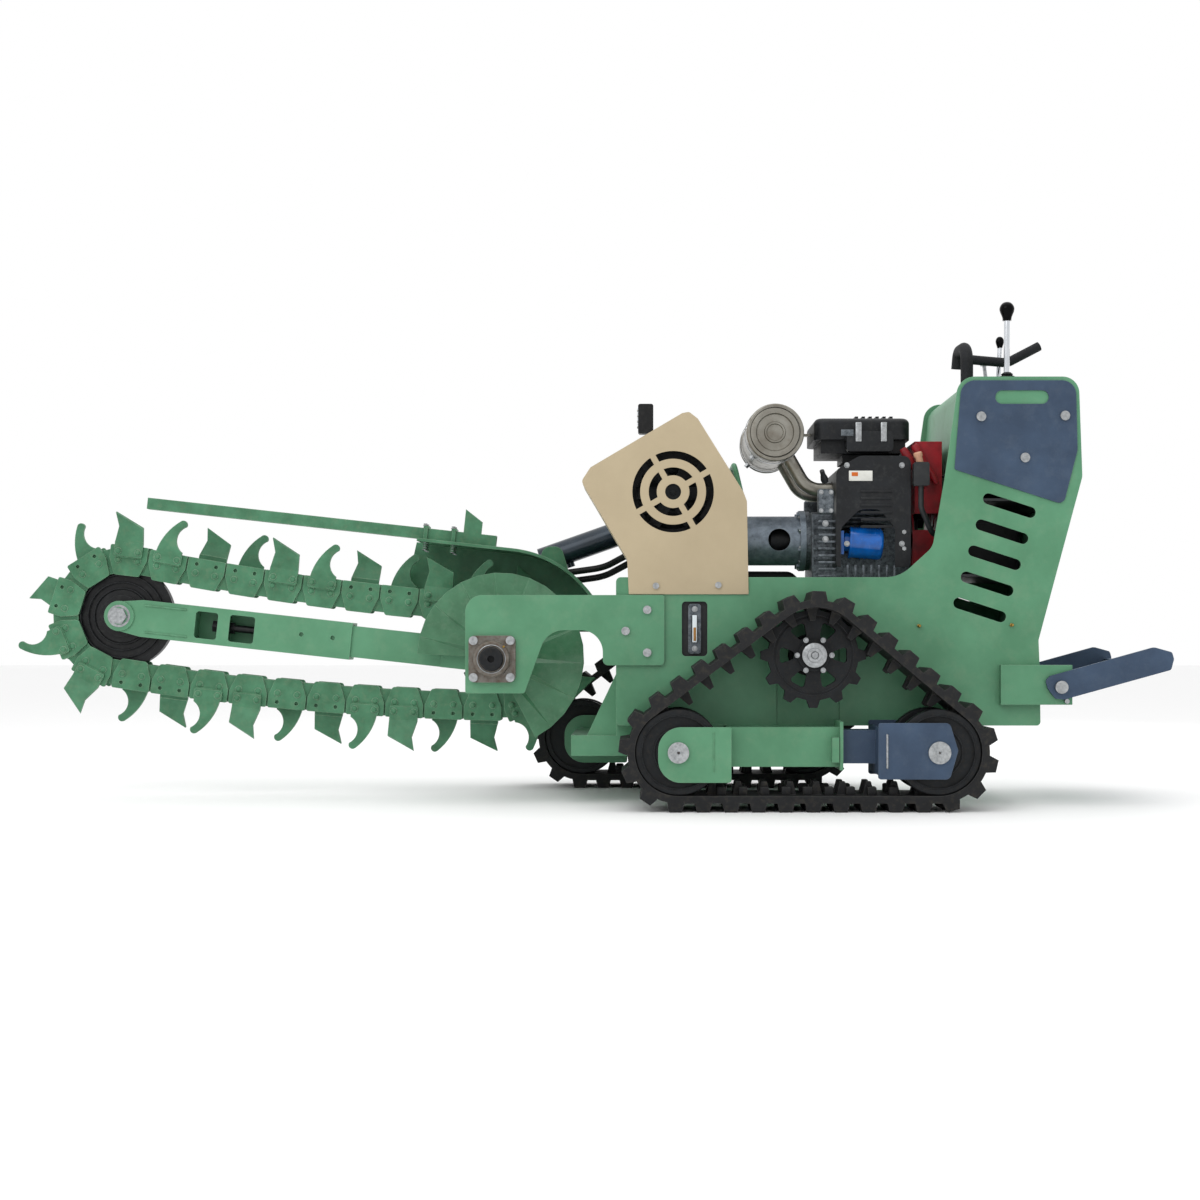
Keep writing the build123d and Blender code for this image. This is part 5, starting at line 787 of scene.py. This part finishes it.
class TRENCHER_OT_engine(Step):
    """Rocker cover, shroud and air cleaner details, silencer rings, filter flutes and blank labels."""

    bl_idname = "trencher.engine"
    bl_label = "Engine details"

    def execute(self, context):
        low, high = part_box("muffler")
        centre = SILENCER_AXIS
        # silencer: pressed end rings, and two straps with their screws
        rings, straps = bmesh.new(), bmesh.new()
        for face, y in ((-1, low[1]), (1, high[1])):
            lathe(rings, [(0.0, -0.001), (0.020, -0.001), (0.022, 0.0016), (0.026, 0.0016),
                          (0.028, -0.001), (0.046, -0.001), (0.049, 0.003), (0.056, 0.004),
                          (0.062, 0.003), (0.064, -0.002)], (centre.x, y, centre.z), (0, face, 0), 56)
        for y in SILENCER_STRAPS:
            lathe(straps, [(0.0738, -0.008), (0.0752, -0.008), (0.0752, 0.008), (0.0738, 0.008),
                           (0.0738, -0.008)], (centre.x, y, centre.z), (0, 1, 0), 56)
            hexagon(straps, (centre.x - 0.052, y, centre.z - 0.055), (-0.7, 0, -0.7), 0.012, 0.010)
        piece("silencer_end_rings", rings, "heat_tinted_steel", "root")
        piece("silencer_straps", straps, "zinc_plate", "root")
        low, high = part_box("engine_shroud")
        # shroud: louvres and corner bolts
        ribs, screws = bmesh.new(), bmesh.new()
        for side in (-1, 1):
            face = low[1] if side < 0 else high[1]
            for n in range(6):
                z = 0.70 + n * 0.018
                slab(ribs, (0.735, min(face, face + side * 0.003), z),
                     (0.815, max(face, face + side * 0.003), z + 0.007), 0.0014)
            for x, z in ((0.70, 0.86), (0.84, 0.86), (0.84, 0.66), (0.70, 0.66)):
                hexagon(screws, (x, face - side * 0.001, z), (0, side, 0), 0.010, 0.006)
        piece("shroud_ribs", ribs, "black_moulding", "root")
        piece("shroud_bolts", screws, "zinc_plate", "root")
        low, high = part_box("engine_block")
        # rocker covers, their bolts and the spark plug boots
        covers, plugs, boots = bmesh.new(), bmesh.new(), bmesh.new()
        for side in (-1, 1):
            face = low[1] if side < 0 else high[1]
            inner, outer = sorted((face - side * 0.002, face + side * 0.016))
            slab(covers, (0.625, inner, 0.735), (0.668, outer, 0.80), 0.007, 3)
            for x, z in ((0.634, 0.744), (0.659, 0.744), (0.634, 0.791), (0.659, 0.791)):
                hexagon(plugs, (x, outer if side > 0 else inner, z), (0, side, 0), 0.008, 0.005)
            lathe(boots, [(0, 0), (0.009, 0), (0.010, 0.008), (0.008, 0.018), (0.0065, 0.022),
                          (0.006, 0.036), (0, 0.037)], (0.646, face - side * 0.004, 0.82),
                  (-0.25, side * 0.55, 0.6), 20)
        piece("rocker_covers", covers, "die_cast_aluminium", "root")
        piece("rocker_cover_bolts", plugs, "zinc_plate", "root")
        piece("spark_plug_boots", boots, "black_moulding", "root")
        low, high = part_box("air_cleaner")
        # air cleaner: spring clips, a blank plate and two knobs
        clips, plate, knobs = bmesh.new(), bmesh.new(), bmesh.new()
        for x in (0.735, 0.80):
            slab(clips, (x - 0.008, low[1] - 0.003, 0.925), (x + 0.008, low[1] + 0.003, 0.975), 0.002, 2)
        slab(plate, (0.690, low[1] - 0.0012, 0.940), (0.722, low[1] + 0.002, 0.956), 0.0006)
        for x in (0.72, 0.80):
            lathe(knobs, [(0, 0), (0.016, 0), (0.017, 0.006), (0.014, 0.012), (0, 0.0125)],
                  (x, 0.0, high[2] - 0.0128), (0, 0, 1), 18)
        piece("air_cleaner_clips", clips, "zinc_plate", "root")
        piece("air_cleaner_blank_plate", plate, "die_cast_aluminium", "root")
        piece("air_cleaner_knobs", knobs, "black_moulding", "root")
        # boots of the starter's leads, and the loom's connector
        red, plug = bmesh.new(), bmesh.new()
        for start, end in (((0.845, -0.170, 0.905), (0.905, -0.176, 0.80)),
                           ((0.875, -0.160, 0.915), (0.925, -0.166, 0.83))):
            lathe(red, [(0, 0), (0.008, 0), (0.0105, 0.006), (0.011, 0.03), (0.0085, 0.045),
                        (0.0085, 0.085), (0.010, 0.09), (0.006, 0.115), (0, 0.116)], start,
                  Vector(end) - Vector(start), 20)
        lathe(plug, [(0, 0), (0.009, 0), (0.0115, 0.003), (0.0115, 0.010), (0.009, 0.014), (0.009, 0.042),
                     (0.0105, 0.045), (0.007, 0.056), (0, 0.057)], (0.878, -0.200, 0.892),
              (0.25, 0.0, -1.0), 20)
        piece("starter_boots", red, "red_moulding", "root")
        piece("loom_connector", plug, "beige_nylon", "root")
        # crankcase fins, studs of the crankcase and coupling drum, and the filter's flutes
        fins, studs, flutes = bmesh.new(), bmesh.new(), bmesh.new()
        low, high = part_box("engine_block")
        for side in (-1, 1):
            face = low[1] if side < 0 else high[1]
            for n in range(9):
                z = 0.575 + n * 0.0175
                slab(fins, (0.628, min(face, face + side * 0.006), z),
                     (0.672, max(face, face + side * 0.006), z + 0.006), 0.001)
            for n in range(7):
                slab(fins, (0.700 + n * 0.020, min(face, face + side * 0.005), 0.568),
                     (0.706 + n * 0.020, max(face, face + side * 0.005), 0.606), 0.001)
        drum_low, drum_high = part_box("coupling_drum")
        drum = (Vector(drum_low) + Vector(drum_high)) / 2
        for n in range(10):
            a = math.tau * (n + 0.5) / 10
            spot = (drum_high[0] - 0.012, drum.y + 0.072 * math.cos(a), drum.z + 0.072 * math.sin(a))
            hexagon(studs, spot, (-1, 0, 0), 0.010, 0.007)
        for x, z in ((0.646, 0.672), (0.646, 0.712), (0.846, 0.648), (0.846, 0.690)):
            hexagon(studs, (x, low[1] - 0.005, z), (0, -1, 0), 0.011, 0.007)
        can_low, can_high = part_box("oil_filter")
        can = (Vector(can_low) + Vector(can_high)) / 2
        for n in range(5):
            x = can_high[0] - 0.010 - n * 0.0125
            ring(flutes, (x, can.y, can.z), (1, 0, 0), (can_high[2] - can_low[2]) / 2 - 0.0016, 0.0012,
                 36, 6)
        piece("engine_fins", fins, "die_cast_aluminium", "root")
        piece("engine_studs", studs, "zinc_plate", "root")
        piece("filter_flutes", flutes, "blue_lacquer", "root")
        # one label with nothing printed on it but a stripe
        label = bmesh.new()
        stripe = bmesh.new()
        side_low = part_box("engine_shroud")[0][1]
        slab(label, (0.705, side_low - 0.0016, 0.820), (0.765, side_low + 0.001, 0.846), 0.0006)
        slab(stripe, (0.712, side_low - 0.0022, 0.832), (0.728, side_low + 0.001, 0.842), 0.0003)
        piece("blank_label", label, "white_vinyl", "root")
        piece("blank_label_stripe", stripe, "orange_vinyl", "root")
        low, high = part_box("battery")
        # battery filler caps
        caps = bmesh.new()
        for n in range(6):
            lathe(caps, [(0, 0), (0.012, 0), (0.012, 0.004), (0.010, 0.006), (0, 0.006)],
                  (0.92 + n * 0.02, -0.11, high[2] - 0.03), (0, 0, 1), 16)
        piece("battery_caps", caps, "black_moulding", "root")
        return {"FINISHED"}


class TRENCHER_OT_console(Step):
    """Bellows at the foot of each lever, and the side plates' grease points."""

    bl_idname = "trencher.console"
    bl_label = "Console details"

    def execute(self, context):
        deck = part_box("tower_shell")[1][2]
        for node, body in (("drive_lever", "lever_drive"), ("boom_lever", "lever_boom"),
                           ("throttle_lever", "lever_throttle")):
            spot = middle(node)
            profile = [(0.030, 0.0), (0.031, 0.003)]
            for n in range(4):
                r = 0.026 - 0.0042 * n
                profile += [(r, 0.004 + 0.006 * n), (r + 0.002, 0.007 + 0.006 * n)]
            profile += [(0.0085, 0.030), (0.0085, 0.0), (0.030, 0.0)]
            boot = bmesh.new()
            lathe(boot, profile, (spot.x, spot.y, deck - 0.0005), (0, 0, 1), 28)
            cover = piece(node + "_bellows", boot, "hose_cover", None)
            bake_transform(cover)
        studs = bmesh.new()
        for side in (-1, 1):
            face = side * PLATE_FACE
            for x, z in GREASE_POINTS:
                lathe(studs, [(0, 0), (0.0045, 0), (0.0045, 0.004), (0.0028, 0.005), (0.0028, 0.010),
                              (0.0042, 0.0115), (0.0028, 0.015), (0, 0.015)], (x, face, z), (0, side, 0),
                      14)
        piece("grease_points", studs, "brass_fitting", "root")
        return {"FINISHED"}


class TRENCHER_PT_panel(bpy.types.Panel):
    """Lists the steps and their settings."""

    bl_idname = "TRENCHER_PT_panel"
    bl_label = "Trencher"
    bl_space_type = "VIEW_3D"
    bl_region_type = "UI"
    bl_category = "Trencher"

    def draw(self, context):
        column = self.layout.column(align=True)
        for step in STEPS:
            column.operator(step.bl_idname)
        for name in TrencherLook.__annotations__:
            column.prop(context.scene.trencher_look, name)


STEPS = (TRENCHER_OT_stage, TRENCHER_OT_finishes, TRENCHER_OT_chain, TRENCHER_OT_boom,
         TRENCHER_OT_undercarriage, TRENCHER_OT_chassis, TRENCHER_OT_engine, TRENCHER_OT_console)
CLASSES = (TrencherLook,) + STEPS + (TRENCHER_PT_panel,)


def register():
    for item in CLASSES:
        bpy.utils.register_class(item)
    bpy.types.Scene.trencher_look = PointerProperty(type=TrencherLook)


def unregister():
    del bpy.types.Scene.trencher_look
    for item in reversed(CLASSES):
        bpy.utils.unregister_class(item)


def main():
    register()
    bpy.ops.trencher.stage()
    bpy.ops.trencher.finishes()
    bpy.ops.trencher.chain()
    bpy.ops.trencher.boom()
    bpy.ops.trencher.undercarriage()
    bpy.ops.trencher.chassis()
    bpy.ops.trencher.engine()
    bpy.ops.trencher.console()
    bpy.context.view_layer.update()


if __name__ == "__main__":
    main()
